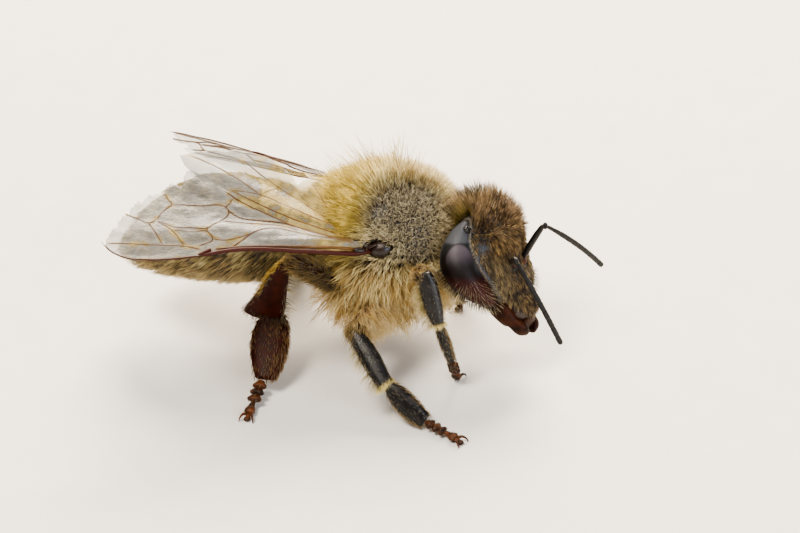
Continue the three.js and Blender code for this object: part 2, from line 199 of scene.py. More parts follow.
def smooth_through(knots):
    """A smooth function of t through rows of (t, value, value...)."""
    rows = np.array(knots, float)
    times, values = rows[:, 0], rows[:, 1:]
    slopes = np.gradient(values, times, axis=0)

    def at(t):
        t = np.clip(np.atleast_1d(t), times[0], times[-1])
        i = np.clip(np.searchsorted(times, t) - 1, 0, len(times) - 2)
        step = (times[i + 1] - times[i])[:, None]
        s = (t - times[i])[:, None] / step
        rest = values[i] * (1 + 2 * s) * (1 - s) ** 2 + values[i + 1] * s * s * (3 - 2 * s)
        return rest + step * (slopes[i] * s * (1 - s) ** 2 + slopes[i + 1] * s * s * (s - 1))
    return at


def through_points(points):
    """A smooth path through points, evenly timed by their distances."""
    points = np.array(points, float)
    gaps = np.linalg.norm(np.diff(points, axis=0), axis=1)
    times = np.concatenate([[0], np.cumsum(gaps)]) / gaps.sum()
    return smooth_through(np.column_stack([times, points]))


# ---- colours and materials ----
def looks():
    """The sizes, amounts and colours that a maker would change."""
    return bpy.context.scene.bee_looks


def linear(colour):
    """An sRGB hex colour as linear red, green and blue; a property's colour is linear already."""
    if not isinstance(colour, str):
        return tuple(colour)
    shares = [int(colour[i:i + 2], 16) / 255 for i in (1, 3, 5)]
    return tuple(c / 12.92 if c <= 0.04045 else ((c + 0.055) / 1.055) ** 2.4 for c in shares)


def per_mm(size):
    """The scale of a pattern on Object coordinates whose features are that many millimetres apart."""
    return 1 / (size * MM)


def add_node(material, kind, inputs=(), stops=(), **settings):
    """Adds one node; inputs are values or the sockets that feed them, stops a ramp's colours."""
    made = material.node_tree.nodes.new("ShaderNode" + kind)
    for name, value in settings.items():
        setattr(made, name, value)
    for name, value in dict(inputs).items():
        if isinstance(value, bpy.types.NodeSocket):
            material.node_tree.links.new(value, made.inputs[name])
        else:
            made.inputs[name].default_value = value
    for i, (place, colour) in enumerate(stops):
        elements = made.color_ramp.elements
        element = elements[i] if i < len(elements) else elements.new(place)
        element.position = place
        element.color = (*linear(colour), 1)
    return made


def material_named(name):
    """For a function that fills a material's nodes: it is made once and then found by its name."""
    def wrapped(fill):
        def material():
            if name not in bpy.data.materials:
                made = bpy.data.materials.new(name)
                made.use_nodes = True
                made.node_tree.nodes.clear()
                fill(made, add_node(made, "TexCoord").outputs["Object"])
            return bpy.data.materials[name]
        return material
    return wrapped


def finish_material(material, **inputs):
    """The shader and its output; an input's name has _ for a space."""
    inputs = {name.replace("_", " "): value for name, value in inputs.items()}
    shader = add_node(material, "BsdfPrincipled", inputs)
    add_node(material, "OutputMaterial", {"Surface": shader.outputs[0]})


def grained(material, place, dark, pale, grain, stretch=1.0, bump=0.15, **shader):
    """A shell's material: two close colours in soft patches and a fine pitted relief."""
    patches = add_node(material, "TexNoise", {"Vector": place, "Scale": per_mm(grain * 9), "Detail": 4.0})
    colour = add_node(material, "ValToRGB", {"Fac": patches.outputs["Fac"]},
                      ((0.35, dark), (0.68, pale)))
    stretched = add_node(material, "Mapping", {"Vector": place, "Scale": (1, 1, stretch)})
    pits = add_node(material, "TexVoronoi", {"Vector": stretched.outputs[0], "Scale": per_mm(grain)})
    relief = add_node(material, "Bump", {"Strength": bump, "Distance": grain * MM,
                                         "Height": pits.outputs["Distance"]})
    rough = shader.pop("Roughness")
    worn = add_node(material, "MapRange", {"Value": patches.outputs["Fac"], "To Min": rough - 0.06,
                                           "To Max": rough + 0.12})
    finish_material(material, Base_Color=colour.outputs["Color"], Roughness=worn.outputs[0],
                    Normal=relief.outputs[0], **shader)


def patchy(material, place, mark, size, detail, shades, limits=(0.0, 1.0)):
    """A piece's own marked colours, in patches of a size that are darker and lighter by two shades."""
    tint = add_node(material, "Attribute", attribute_name=mark)
    patches = add_node(material, "TexNoise", {"Vector": place, "Scale": per_mm(size), "Detail": detail})
    shade = add_node(material, "MapRange", {"Value": patches.outputs["Fac"], "From Min": limits[0],
                                            "From Max": limits[1], "To Min": shades[0], "To Max": shades[1]})
    colour = add_node(material, "VectorMath", {0: tint.outputs["Color"], 1: shade.outputs[0]},
                      operation="MULTIPLY")
    return colour.outputs[0], patches.outputs["Fac"]


@material_named("Black chitin")
def black_chitin(material, place):
    # Sclerotised cuticle of scales and outer legs: near black and polished; its paler dull grey patches are
    # painted sheen.
    grained(material, place, "#030202", looks().black_shell_sheen, 0.03, 2.5, 0.2,
            Roughness=0.25, Specular_IOR_Level=0.42)


@material_named("Feeler chitin")
def feeler_chitin(material, place):
    # Cuticle of the feelers, matt with sense pits: brown-black.
    grained(material, place, "#030202", "#0e0906", 0.03, 1.0, 0.3,
            Roughness=0.38, Specular_IOR_Level=0.34)


@material_named("Maroon chitin")
def maroon_chitin(material, place):
    # Thinner cuticle that lets some red through: dark maroon, satin, on the hind legs and thighs.
    grained(material, place, "#240b04", looks().maroon_shell, 0.035, 2.0, 0.15,
            Roughness=0.34, Specular_IOR_Level=0.09)


@material_named("Scale chitin")
def scale_chitin(material, place):
    # The wing scale's cuticle: brown-black to dark amber in soft patches, satin.
    grained(material, place, "#060404", "#26120a", 0.03, 1.0, 0.25,
            Roughness=0.26, Specular_IOR_Level=0.5)


@material_named("Jaw chitin")
def jaw_chitin(material, place):
    # The hardest cuticle, worn smooth by work: dark red-brown with a soft shine.
    grained(material, place, "#1a0904", "#41200e", 0.04, 1.5, 0.2,
            Roughness=0.4, Specular_IOR_Level=0.13)


@material_named("Amber chitin")
def amber_chitin(material, place):
    # Thin cuticle of the feet, tongue and feeler bases: brown, amber at its edges, slightly waxy.
    grained(material, place, "#1e0e07", looks().amber_shell, 0.03, 1.5, 0.25,
            Roughness=0.45, Specular_IOR_Level=0.25)


@material_named("Hairy cuticle")
def skin_cuticle(material, place):
    # Cuticle of the trunk and head under the coat: dark, punctured where hairs stand.
    colour, patches = patchy(material, place, "tint", 0.4, 4.0, (0.7, 1.35))
    pits = add_node(material, "TexVoronoi", {"Vector": place, "Scale": per_mm(0.07)})
    relief = add_node(material, "Bump", {"Strength": 0.35, "Distance": 0.04 * MM,
                                         "Height": pits.outputs["Distance"]})
    rough = add_node(material, "MapRange", {"Value": patches, "To Min": 0.34, "To Max": 0.55})
    finish_material(material, Base_Color=colour, Roughness=rough.outputs[0],
                    Normal=relief.outputs[0], Coat_Weight=0.1, Coat_Roughness=0.3)


@material_named("Bee hair")
def hair_keratin(material, place):
    # Branched insect hair: dry and soft looking, each hair a little paler or darker along its length.
    colour, _ = patchy(material, place, "coat_colour", 0.12, 2.0, (0.82, 1.18), (0.3, 0.7))
    finish_material(material, Base_Color=colour, Roughness=0.55, Sheen_Weight=0.1,
                    Sheen_Roughness=0.4, Specular_IOR_Level=0.3)


@material_named("Compound eye")
def eye_facets(material, place):
    # Thousands of corneal lenses over dark pigment: brown-black; the grey-violet and slate in its marked
    # colours are painted reflections.
    colour, _ = patchy(material, place, "tint", 0.3, 3.0, (0.75, 1.25))
    # Real facets are 0.02 mm apart; these are drawn twice as coarse, so that they show.
    lenses = add_node(material, "TexVoronoi", {"Vector": place, "Scale": per_mm(0.042)})
    relief = add_node(material, "Bump", {"Strength": 0.25, "Distance": 0.02 * MM,
                                         "Height": lenses.outputs["Distance"]})
    finish_material(material, Base_Color=colour, Roughness=0.46,
                    Normal=relief.outputs[0], Specular_IOR_Level=0.24)


@material_named("Ocellus lens")
def ocellus_lens(material, place):
    # A single clear lens over pigment: black glass.
    depth = add_node(material, "TexNoise", {"Vector": place, "Scale": per_mm(0.2)})
    colour = add_node(material, "ValToRGB", {"Fac": depth.outputs["Fac"]},
                      ((0.3, "#0a0808"), (0.8, "#262023")))
    finish_material(material, Base_Color=colour.outputs["Color"], Roughness=0.14,
                    Coat_Weight=0.3, Coat_Roughness=0.1)


@material_named("Wing membrane")
def wing_membrane(material, place):
    # Two layers of clear cuticle pressed together: smoky at the tip, golden and crinkled at the root; its
    # pale grey and gold are partly painted sheen over the membrane's own tint.
    clouds = add_node(material, "TexNoise", {"Vector": place, "Scale": per_mm(0.5), "Detail": 6.0})
    root = add_node(material, "Attribute", attribute_name="gold")
    warmed = add_node(material, "Math", {0: root.outputs["Fac"], 1: 0.1, 2: clouds.outputs["Fac"]},
                      operation="MULTIPLY_ADD")
    bristles = add_node(material, "TexVoronoi", {"Vector": place, "Scale": per_mm(0.07)})
    crinkle = add_node(material, "TexNoise", {"Vector": place, "Scale": per_mm(0.28), "Detail": 4.0})
    crinkle_sheen = add_node(material, "Math", {0: root.outputs["Fac"], 1: crinkle.outputs["Fac"]},
                     operation="MULTIPLY")
    tone_place = add_node(material, "Math", {0: crinkle_sheen.outputs[0], 1: 0.95, 2: warmed.outputs[0]},
                          operation="MULTIPLY_ADD")
    # Painted sheen: the crinkles near the root and beside the veins lift the colour towards pale gold.
    colour = add_node(material, "ValToRGB", {"Fac": tone_place.outputs[0]},
                      ((0.3, "#5d5c57"), (0.5, "#7b7a75"), (0.72, looks().membrane), (0.88, "#93804a"),
                       (1.0, "#cbb678")))
    height = add_node(material, "Math", {0: bristles.outputs["Distance"], 1: 0.25,
                                         2: crinkle.outputs["Fac"]}, operation="MULTIPLY_ADD")
    relief = add_node(material, "Bump", {"Strength": 0.5, "Distance": 0.05 * MM,
                                         "Height": height.outputs[0]})
    rough = add_node(material, "MapRange", {"Value": crinkle.outputs["Fac"], "To Min": 0.24, "To Max": 0.44})
    finish_material(material, Base_Color=colour.outputs["Color"], Roughness=rough.outputs[0],
                    Normal=relief.outputs[0], Alpha=0.4, Specular_IOR_Level=0.6)


@material_named("Wing vein")
def wing_vein(material, place):
    # Hollow cuticle tubes: amber where thin, dark red-brown along the leading edge.
    dark = add_node(material, "Attribute", attribute_name="darkness")
    patches = add_node(material, "TexNoise", {"Vector": place, "Scale": per_mm(0.5), "Detail": 3.0})
    spread = add_node(material, "Math", {0: patches.outputs["Fac"], 1: 0.35, 2: dark.outputs["Fac"]},
                      operation="MULTIPLY_ADD")
    colour = add_node(material, "ValToRGB", {"Fac": spread.outputs[0]},
                      ((0.12, "#ab8244"), (0.35, "#6e4f2a"), (0.6, "#452b15"), (0.78, "#3b1b0d"),
                       (0.95, looks().vein)))
    finish_material(material, Base_Color=colour.outputs["Color"], Roughness=0.5,
                    Specular_IOR_Level=0.2)


@material_named("Backdrop paper")
def matt_paper(material, place):
    # Matt backdrop paper: pale, with almost no grain.
    fibres = add_node(material, "TexNoise", {"Vector": place, "Scale": per_mm(1.5), "Detail": 3.0})
    colour = add_node(material, "ValToRGB", {"Fac": fibres.outputs["Fac"]},
                      ((0.2, "#dedbd6"), (0.8, looks().floor)))
    finish_material(material, Base_Color=colour.outputs["Color"], Roughness=0.9,
                    Specular_IOR_Level=0.2)


# ---- making and finishing pieces ----
def settle(made, material, slot, *nodes):
    """Links a finished object, gives it its material and smooth shading, hangs it on the root and hides the
    solids it replaces; the slot is not used.
    """
    bpy.context.scene.collection.objects.link(made)
    made.data.materials.append(material)
    made.data.polygons.foreach_set("use_smooth", np.ones(len(made.data.polygons), bool))
    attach(made, "root")
    if nodes:
        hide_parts(*nodes)
    return made


def piece(name, shapes, where, material, slot, *nodes, **marks):
    """Joins bmeshes, in a frame's millimetres, into one finished piece."""
    whole = join(shapes)
    bmesh.ops.transform(whole, matrix=Matrix.Scale(MM, 4) @ where, verts=whole.verts)
    mesh = mesh_of(name, whole)
    for mark, values in marks.items():
        mesh.attributes.new(mark, "FLOAT", "POINT").data.foreach_set("value", values)
    return settle(bpy.data.objects.new(name, mesh), material, slot, *nodes)


def mesh_of(name, shape):
    """A bmesh as a mesh; the bmesh is freed."""
    mesh = bpy.data.meshes.new(name)
    shape.to_mesh(mesh)
    shape.free()
    return mesh


def join(shapes):
    """Several bmeshes as one."""
    whole = bmesh.new()
    for shape in shapes:
        part = mesh_of("part", shape)
        whole.from_mesh(part)
        bpy.data.meshes.remove(part)
    return whole


def ball(half, centre=(0, 0, 0), fineness=3, turned=None, shape=None):
    """A rounded body from an icosphere: an ellipsoid, or any shape worked out from its points."""
    made = bmesh.new()
    bmesh.ops.create_icosphere(made, subdivisions=fineness, radius=1)
    for vert in made.verts:
        vert.co = Vector(shape(vert.co)) if shape else Vector(a * b for a, b in zip(vert.co, half))
    if turned is not None:
        bmesh.ops.transform(made, matrix=turned, verts=made.verts)
    bmesh.ops.translate(made, vec=centre, verts=made.verts)
    bmesh.ops.recalc_face_normals(made, faces=made.faces)
    return made


def rounded_ends(t, share):
    """A section's size near both ends of a limb, so that it closes in a dome."""
    near = np.clip(np.minimum(t, 1 - t) / share, 0, 1)
    return np.sqrt(np.clip(1 - (1 - near) ** 2, 0, 1))


def sweep(path, section, broad, around, along, dome, square=2.0):
    """A closed limb along a path: section(t) gives rows of half width and half depth."""
    s = np.linspace(0, 1, along + 1)
    t = 0.6 * (1 - np.cos(np.pi * s)) / 2 + 0.4 * s
    centre, size = path(t), section(t) * rounded_ends(t, dome)[:, None]
    tangent = unit(np.gradient(centre, axis=0))
    across = np.array(broad, float) - tangent * (tangent @ np.array(broad, float))[:, None]
    across = unit(across)
    through = np.cross(across, tangent)
    angle = np.linspace(0, 2 * np.pi, around + 1)
    cos, sin = np.cos(angle), np.sin(angle)
    cos, sin = (np.sign(v) * np.abs(v) ** (2 / square) for v in (cos, sin))
    rings = (centre[:, None] + across[:, None] * size[:, :1, None] * cos[None, :, None]
             + through[:, None] * size[:, 1:2, None] * sin[None, :, None])
    made = bmesh.new()
    bmesh.ops.create_grid(made, x_segments=around, y_segments=along, size=1)
    for vert in made.verts:
        i, j = round((vert.co.y + 1) / 2 * along), round((vert.co.x + 1) / 2 * around)
        vert.co = rings[i, j]
    bmesh.ops.remove_doubles(made, verts=made.verts, dist=1e-4)
    bmesh.ops.recalc_face_normals(made, faces=made.faces)
    return made


def limb(length, knots, around=20, along=36, dome=0.1, square=2.0, bow=(0, 0)):
    """A straight or slightly bowed limb along +Y; knots are (t, half width, half depth, aside)."""
    rows = smooth_through(knots)

    def path(t):
        bend = 4 * t * (1 - t)
        return np.column_stack([rows(t)[:, 2] + bow[0] * bend, length * t, bow[1] * bend])
    return sweep(path, lambda t: rows(t)[:, :2], (1, 0, 0), around, along, dome, square)


def tube(points, first, last, around, along):
    """A thin round rod through points, with a radius at each end."""
    return sweep(through_points(points), lambda t: mix(first, last, t)[:, None] * np.ones((1, 2)),
                 (0, 0, 1), around, along, 0.08)


def surface_of(name, where):
    """A piece's points and normals in a frame's millimetres, and its triangles."""
    mesh = bpy.data.objects[name].data
    points = np.empty(len(mesh.vertices) * 3, np.float32)
    normals = np.empty(len(mesh.vertices) * 3, np.float32)
    mesh.vertices.foreach_get("co", points)
    mesh.vertex_normals.foreach_get("vector", normals)
    mesh.calc_loop_triangles()
    triangles = np.empty(len(mesh.loop_triangles) * 3, np.int32)
    mesh.loop_triangles.foreach_get("vertices", triangles)
    points = moved(points.reshape(-1, 3).astype(float) / MM, where.inverted())
    normals = normals.reshape(-1, 3) @ np.array(where)[:3, :3]
    return points, normals, triangles.reshape(-1, 3)


# ---- the trunk and head as smooth volumes ----
def abdomen_shape(p):
    round_part = math.sqrt(max(1e-9, 1 - p.x * p.x))
    taper = (1 - min(1, p.x * p.x)) ** ABDOMEN_POINT / round_part if p.x < 0 else 1
    behind = max(0, -p.x) * ABDOMEN_SKIN[0]
    return (p.x * ABDOMEN_SKIN[0], p.y * ABDOMEN_SKIN[1] * taper,
            p.z * ABDOMEN_SKIN[2] * taper - ABDOMEN_DROOP * behind ** 2)


def skull_shape(p):
    chin = max(0, -p.z)
    depth = SKULL["face"] if p.x > 0 else SKULL["nape"] * (1 - 0.25 * chin)
    return (p.x * depth + SKULL["forward"] * chin, p.y * SKULL["width"] * (1 - 0.36 * chin ** 1.6),
            p.z * (SKULL["crown"] if p.z > 0 else SKULL["chin"]))


def eye_shape(p, side):
    """A bean standing on end, pointed at the top, its ends bent round the head."""
    full = 1 - EYE_TAPER * p.z
    return (p.x * EYE_HALF[0] * full - EYE_LEAN * p.z + EYE_BOW * p.z ** 2,
            p.y * EYE_HALF[1] * full - side * EYE_TUCK * p.z ** 2, p.z * EYE_HALF[2])


def eye_depth(points, side):
    """How far out from an eye's middle points of the head lie: 1 on its surface."""
    q = points - handed(EYE_CENTRE, side)
    z = q[:, 2] / EYE_HALF[2]
    full = 1 - EYE_TAPER * z
    x = (q[:, 0] + EYE_LEAN * z - EYE_BOW * z * z) / (EYE_HALF[0] * full)
    y = (q[:, 1] + side * EYE_TUCK * z * z) / (EYE_HALF[1] * full)
    return np.sqrt(x * x + y * y + z * z)


def skull_depth(points):
    """How far out from the head's middle points of its frame lie: 1 on the skull."""
    z = points[:, 2] / np.where(points[:, 2] > 0, SKULL["crown"], SKULL["chin"])
    chin = np.maximum(0, -z)
    x = points[:, 0] - SKULL["forward"] * chin
    x = x / np.where(x > 0, SKULL["face"], SKULL["nape"] * (1 - 0.25 * chin))
    y = points[:, 1] / (SKULL["width"] * (1 - 0.36 * np.minimum(chin, 1) ** 1.6))
    return np.sqrt(x * x + y * y + z * z)


def near_temple(points):
    """1 in the middle of the bare skin beside an eye, 0 away from it."""
    gap = points * (1, 0, 1) + np.abs(points) * (0, 1, 0) - TEMPLE
    return np.exp(-np.linalg.norm(gap / (0.27, 0.34, 0.4), axis=1) ** 2)


def beard(points):
    """How far below the face's hair points of the head lie: under 0 they are hairy."""
    return -points[:, 2] - 1.82 + points[:, 1] ** 2


THORAX_PART, ABDOMEN_PART, HEAD_PART = range(3)


def parts_of(points):
    """Which part of the trunk each point belongs to."""
    thorax = np.linalg.norm((points - THORAX_CENTRE) / THORAX_SKIN, axis=1)
    behind = np.maximum(0, ABDOMEN_CENTRE[0] - points[:, 0])
    lifted = points - ABDOMEN_CENTRE
    lifted[:, 2] += ABDOMEN_DROOP * behind ** 2
    abdomen = np.linalg.norm(lifted / ABDOMEN_SKIN, axis=1)
    head = skull_depth(moved(points, HEAD_IN_BODY.inverted()))
    return np.argmin([thorax, abdomen, head], axis=0)


def skin_of(part, where, to_trunk=Matrix()):
    """The skin's surface over one part, in a frame's millimetres; to_trunk leads on to the trunk's."""
    points, normals, triangles = surface_of("skin", where)
    mine = parts_of(moved(points, to_trunk))[triangles[:, 0]] == part
    return points, normals, triangles[mine]


def ring_phase(x, z):
    """Where points lie on the abdomen's rings: 0 at a ring's front, 1 at its rear margin."""
    bowed = x + 0.12 * (z / ABDOMEN_SKIN[2]) ** 2
    edges = np.array((-1.6,) + TERGITES)
    i = np.clip(np.searchsorted(-edges, -bowed) - 1, 0, len(edges) - 2)
    return np.clip((edges[i] - bowed) / (edges[i] - edges[i + 1]), 0, 1)


class BEE_OT_skin(bpy.types.Operator):
    """One skin over the thorax, abdomen and head, with its rings, jaw shield and leg bases"""
    bl_idname = "bee.skin"
    bl_label = "Skin"

    def execute(self, context):
        hips = [BODY.inverted() @ GROUND @ Vector(joints[0]) for joints in LEG_JOINTS.values()]
        volumes = [
            ball(THORAX_SKIN, THORAX_CENTRE, 5),
            ball(*SCUTELLUM, 3),
            ball(*NECK, 3),
            ball(*WAIST, 3),
            ball(None, ABDOMEN_CENTRE, 5, shape=abdomen_shape),
            ball(None, (0, 0, 0), 5, HEAD_IN_BODY, skull_shape),
            ball(MUZZLE_SKIN, (0, 0, 0), 4, HEAD_IN_BODY @ Matrix.Translation(MUZZLE_CENTRE)),
        ]
        for hip, name in zip(hips, LEG_JOINTS):
            side = HANDS[name.split("_")[1]]
            volumes.append(ball(COXA_SKIN, hip + Vector((0, -side * 0.12, COXA_RISE)), 3))
        draft = bpy.data.objects.new("skin_draft", mesh_of("skin", join(volumes)))
        context.scene.collection.objects.link(draft)
        remesh = draft.modifiers.new("one skin", "REMESH")
        remesh.mode, remesh.voxel_size = "VOXEL", SKIN_VOXEL
        relax = draft.modifiers.new("soft joins", "SMOOTH")
        relax.factor, relax.iterations = 0.5, 8
        graph = context.evaluated_depsgraph_get()
        whole = bpy.data.meshes.new_from_object(draft.evaluated_get(graph))
        bpy.data.objects.remove(draft)
        self.shape(whole)
        whole.transform(Matrix.Scale(MM, 4) @ BODY)
        whole.materials.clear()
        settle(bpy.data.objects.new("skin", whole), skin_cuticle(), "coat", "thorax", "abdomen", "head")
        return {"FINISHED"}

    def shape(self, mesh):
        """Raises the rings' margins and the face's plates, and marks the skin's colours."""
        count = len(mesh.vertices)
        points, normals = np.empty(count * 3, np.float32), np.empty(count * 3, np.float32)
        mesh.vertices.foreach_get("co", points)
        mesh.vertex_normals.foreach_get("vector", normals)
        points, normals = points.reshape(-1, 3).astype(float), normals.reshape(-1, 3)
        part = parts_of(points)
        phase = ring_phase(points[:, 0], points[:, 2])
        belly, head = part == ABDOMEN_PART, part == HEAD_PART
        raised = np.where(belly, RING_HEIGHT * rise(phase, 0.0, 0.9) * (1 - rise(phase, 0.95, 1.0)), 0)
        face = moved(points, HEAD_IN_BODY.inverted())
        shield = rise(-face[:, 2], 0.45, 0.65) * (1 - rise(np.abs(face[:, 1]), 0.5, 0.66))
        shield = shield * (face[:, 0] > 0.6)
        raised += np.where(head, SHIELD_HEIGHT * shield, 0)
        for side in HANDS.values():
            gap = np.linalg.norm(face - handed(SOCKET, side), axis=1)
            raised += np.where(head, SOCKET_HEIGHT * np.exp(-((gap - 0.2) / 0.05) ** 2), 0)
            rim = eye_depth(face, side)
            raised += np.where(head, ORBIT_HEIGHT * np.exp(-((rim - 1.12) / 0.06) ** 2), 0)
        near_eye = np.minimum(*(eye_depth(face, side) for side in HANDS.values()))
        tint = np.tile(linear("#1d1712"), (count, 1))
        tint = mix(tint, tone("#3b2616"), belly * rise(phase, 0.8, 0.97) * 0.8)
        tint = mix(tint, tone("#240c06"), head * rise(beard(face), -0.1, 0.1) * (face[:, 0] > 0))
        tint = mix(tint, tone("#26272a"), head * np.exp(-((near_eye - 1.16) / 0.06) ** 2))
        tint = mix(tint, tone("#1f2126"), head * near_temple(face))
        tint = mix(tint, tone("#6b655a"), head * np.exp(-((near_eye - 1.07) / 0.022) ** 2))
        mesh.vertices.foreach_set("co", (points + normals * raised[:, None]).astype(np.float32).ravel())
        mark_colours(mesh, "tint", tint)


def mark_colours(mesh, name, colours):
    """Stores one linear colour for each vertex."""
    marks = mesh.attributes.new(name, "FLOAT_COLOR", "POINT")
    marks.data.foreach_set("color", np.column_stack([colours, np.ones(len(colours))]).ravel())


class BEE_OT_eyes(bpy.types.Operator):
    """The two compound eyes and the three single lenses on the crown"""
    bl_idname = "bee.eyes"
    bl_label = "Eyes"

    def execute(self, context):
        for hand, side in HANDS.items():
            centre = handed(EYE_CENTRE, side)
            shape = ball(None, centre, 6, shape=lambda p: eye_shape(p, side))
            points = np.array([v.co for v in shape.verts]) - centre
            made = piece(f"compound_eye_{hand}", [shape], HEAD, eye_facets(), "eye", f"eye_{hand}")
            mark_colours(made.data, "tint", self.painted_reflections(points / EYE_HALF[2], side))
        beads, rims = [], []
        for place in OCELLI:
            outward = Vector((place[0] * 0.3, place[1], place[2])).to_track_quat("Z", "Y")
            seat = Matrix.Translation(place) @ outward.to_matrix().to_4x4()
            beads.append(ball((0.095, 0.095, 0.09), (0, 0, 0), 4, seat @ Matrix.Translation((0, 0, 0.05))))
            rims.append(ball((0.14, 0.14, 0.08), (0, 0, 0), 4, seat))
        piece("ocelli", beads, HEAD, ocellus_lens(), "eye")
        piece("ocellus_rims", rims, HEAD, black_chitin(), "black_chitin")
        return {"FINISHED"}

    def painted_reflections(self, q, side):
        """Painted reflections: a grey upper half, slate at the pointed top and margins, a grey-violet oval on
        the outer face with a dark edge; the eye's own red-brown black below.
        """
        height = q[:, 2]
        face = np.arctan2(q[:, 0] + 0.29 * height - 0.32 * height ** 2,
                          side * q[:, 1] + 0.29 * height ** 2) - 0.62
        oval = 1 - rise((face / 0.9) ** 2 + ((height - 0.14) / 0.38) ** 2, 0.75, 1.1)
        oval = oval * rise(height, -0.3, 0.22)
        inner = rise(face, 0.55, 0.85) * rise(height, -0.35, 0.1)
        outer = rise(-face, 1.25, 1.6) * rise(height, -0.5, -0.1)
        tint = mix(tone("#0c0302"), tone("#380d05"), rise(-height, 0.15, 0.55))
        # Painted reflection: grey over the upper half, slate at the pointed top and down the margins.
        tint = mix(tint, tone("#1b1c1e"), rise(height, 0.1, 0.5))
        tint = mix(tint, tone(looks().eye_slate_reflection),
                   np.maximum(rise(height, 0.5, 0.56), 0.8 * np.maximum(inner, outer)))
        # Painted reflection: a dark edge round the top of the oval, and the grey-violet oval, paler upwards.
        line = np.exp(-((face / 0.9) ** 2 + ((height - 0.14) / 0.38) ** 2 - 1.05) ** 2 / 0.01)
        tint = mix(tint, tone("#0c0a0b"), line * rise(height, 0.0, 0.3) * 0.7)
        violet = mix(tone("#171215"), tone(looks().eye_violet_reflection), rise(height, -0.05, 0.45))
        return mix(tint, violet, oval)


class BEE_OT_feelers(bpy.types.Operator):
    """The antennae: socket ring, scape, pedicel and the ringed flagellum"""
    bl_idname = "bee.feelers"
    bl_label = "Feelers"

    def execute(self, context):
        for hand, side in HANDS.items():
            socket = Vector((SOCKET[0] - 0.06, side * SOCKET[1], SOCKET[2]))
            elbow, tip = Vector(ELBOW[hand]), Vector(FEELER_TIP[hand])
            where = HEAD @ limb_frame(socket, elbow, (0, 1, 0))
            reach = (elbow - socket).length
            scape = limb(reach, ((0, 0.08, 0.08, 0), (0.08, 0.065, 0.065, 0), (0.2, 0.1, 0.1, 0),
                                 (0.45, 0.12, 0.11, 0), (0.8, 0.11, 0.1, 0), (1, 0.075, 0.075, 0)),
                         20, 40, 0.06, bow=(0, -0.03))
            piece(f"scape_{hand}", [scape], where, feeler_chitin(), "black_chitin", f"antenna_{hand}_scape")
            middle = elbow.lerp(tip, 0.45) + Vector((FEELER_BEND, side * FEELER_BEND, 0))
            shapes = [ball((0.085, 0.085, 0.12), elbow + (tip - elbow).normalized() * 0.08, 3),
                      self.flagellum(elbow, middle, tip)]
            piece(f"flagellum_{hand}", shapes, HEAD, feeler_chitin(), "black_chitin",
                  f"antenna_{hand}_flagellum")
        root = [ball((0.15, 0.14, 0.14), (SOCKET[0] - 0.02, side * SOCKET[1], SOCKET[2]), 3)
                for side in HANDS.values()]
        piece("feeler_bulbs", root, HEAD, amber_chitin(), "amber_chitin")
        return {"FINISHED"}

    def flagellum(self, elbow, middle, tip):
        """Ten articles, each a little narrower at both ends."""
        ends = np.array([elbow, middle, tip])

        def path(t):
            t = np.asarray(t)[:, None] * 0.96 + 0.04
            return ends[0] * (1 - t) ** 2 + ends[1] * 2 * t * (1 - t) + ends[2] * t * t

        def section(t):
            article = (t * 10) % 1
            groove = np.exp(-(np.minimum(article, 1 - article) / 0.07) ** 2)
            radius = mix(0.062, 0.09, rise(t, 0.02, 0.3)) * (1 - 0.14 * groove)
            return radius[:, None] * np.ones((1, 2))
        return sweep(path, section, (0, 1, 0), 18, 160, 0.03)


class BEE_OT_mouth(bpy.types.Operator):
    """The jaws, the upper lip and the folded tongue"""
    bl_idname = "bee.mouth"
    bl_label = "Mouth parts"

    def execute(self, context):
        for hand, side in HANDS.items():
            hinge, tip = Vector(handed(JAW_HINGE, side)), Vector(handed(JAW_TIP, side))
            jaw = limb((tip - hinge).length, ((0, 0.2, 0.34, 0), (0.35, 0.2, 0.31, 0), (0.58, 0.16, 0.23, 0),
                                              (0.8, 0.175, 0.25, 0), (1, 0.11, 0.17, 0)),
                       24, 40, 0.16, 2.2, (side * 0.1, 0))
            piece(f"jaw_{hand}", [jaw], HEAD @ limb_frame(hinge, tip, (0, 1, 0)), jaw_chitin(),
                  "brown_chitin", f"mandible_{hand}")
        top, tip = Vector(TONGUE_TOP), Vector(TONGUE_TIP)
        blades = [limb((tip - top).length, ((0, 0.1, 0.12, side * 0.12), (0.6, 0.12, 0.14, side * 0.13),
                                            (1, 0.06, 0.07, side * 0.05)), 12, 20, 0.12)
                  for side in HANDS.values()]
        blades.append(limb((tip - top).length * 1.02, ((0, 0.1, 0.1, 0), (1, 0.05, 0.05, 0)), 12, 20, 0.1,
                           bow=(0, 0.1)))
        piece("tongue", blades, HEAD @ limb_frame(top, tip, (0, 1, 0)), amber_chitin(),
              "brown_chitin", "proboscis")
        lip = ball(LIP_HALF, LIP_CENTRE, 4, placed(0, 0, 0, pitch=12))
        piece("upper_lip", [lip], HEAD, jaw_chitin(), "brown_chitin")
        return {"FINISHED"}


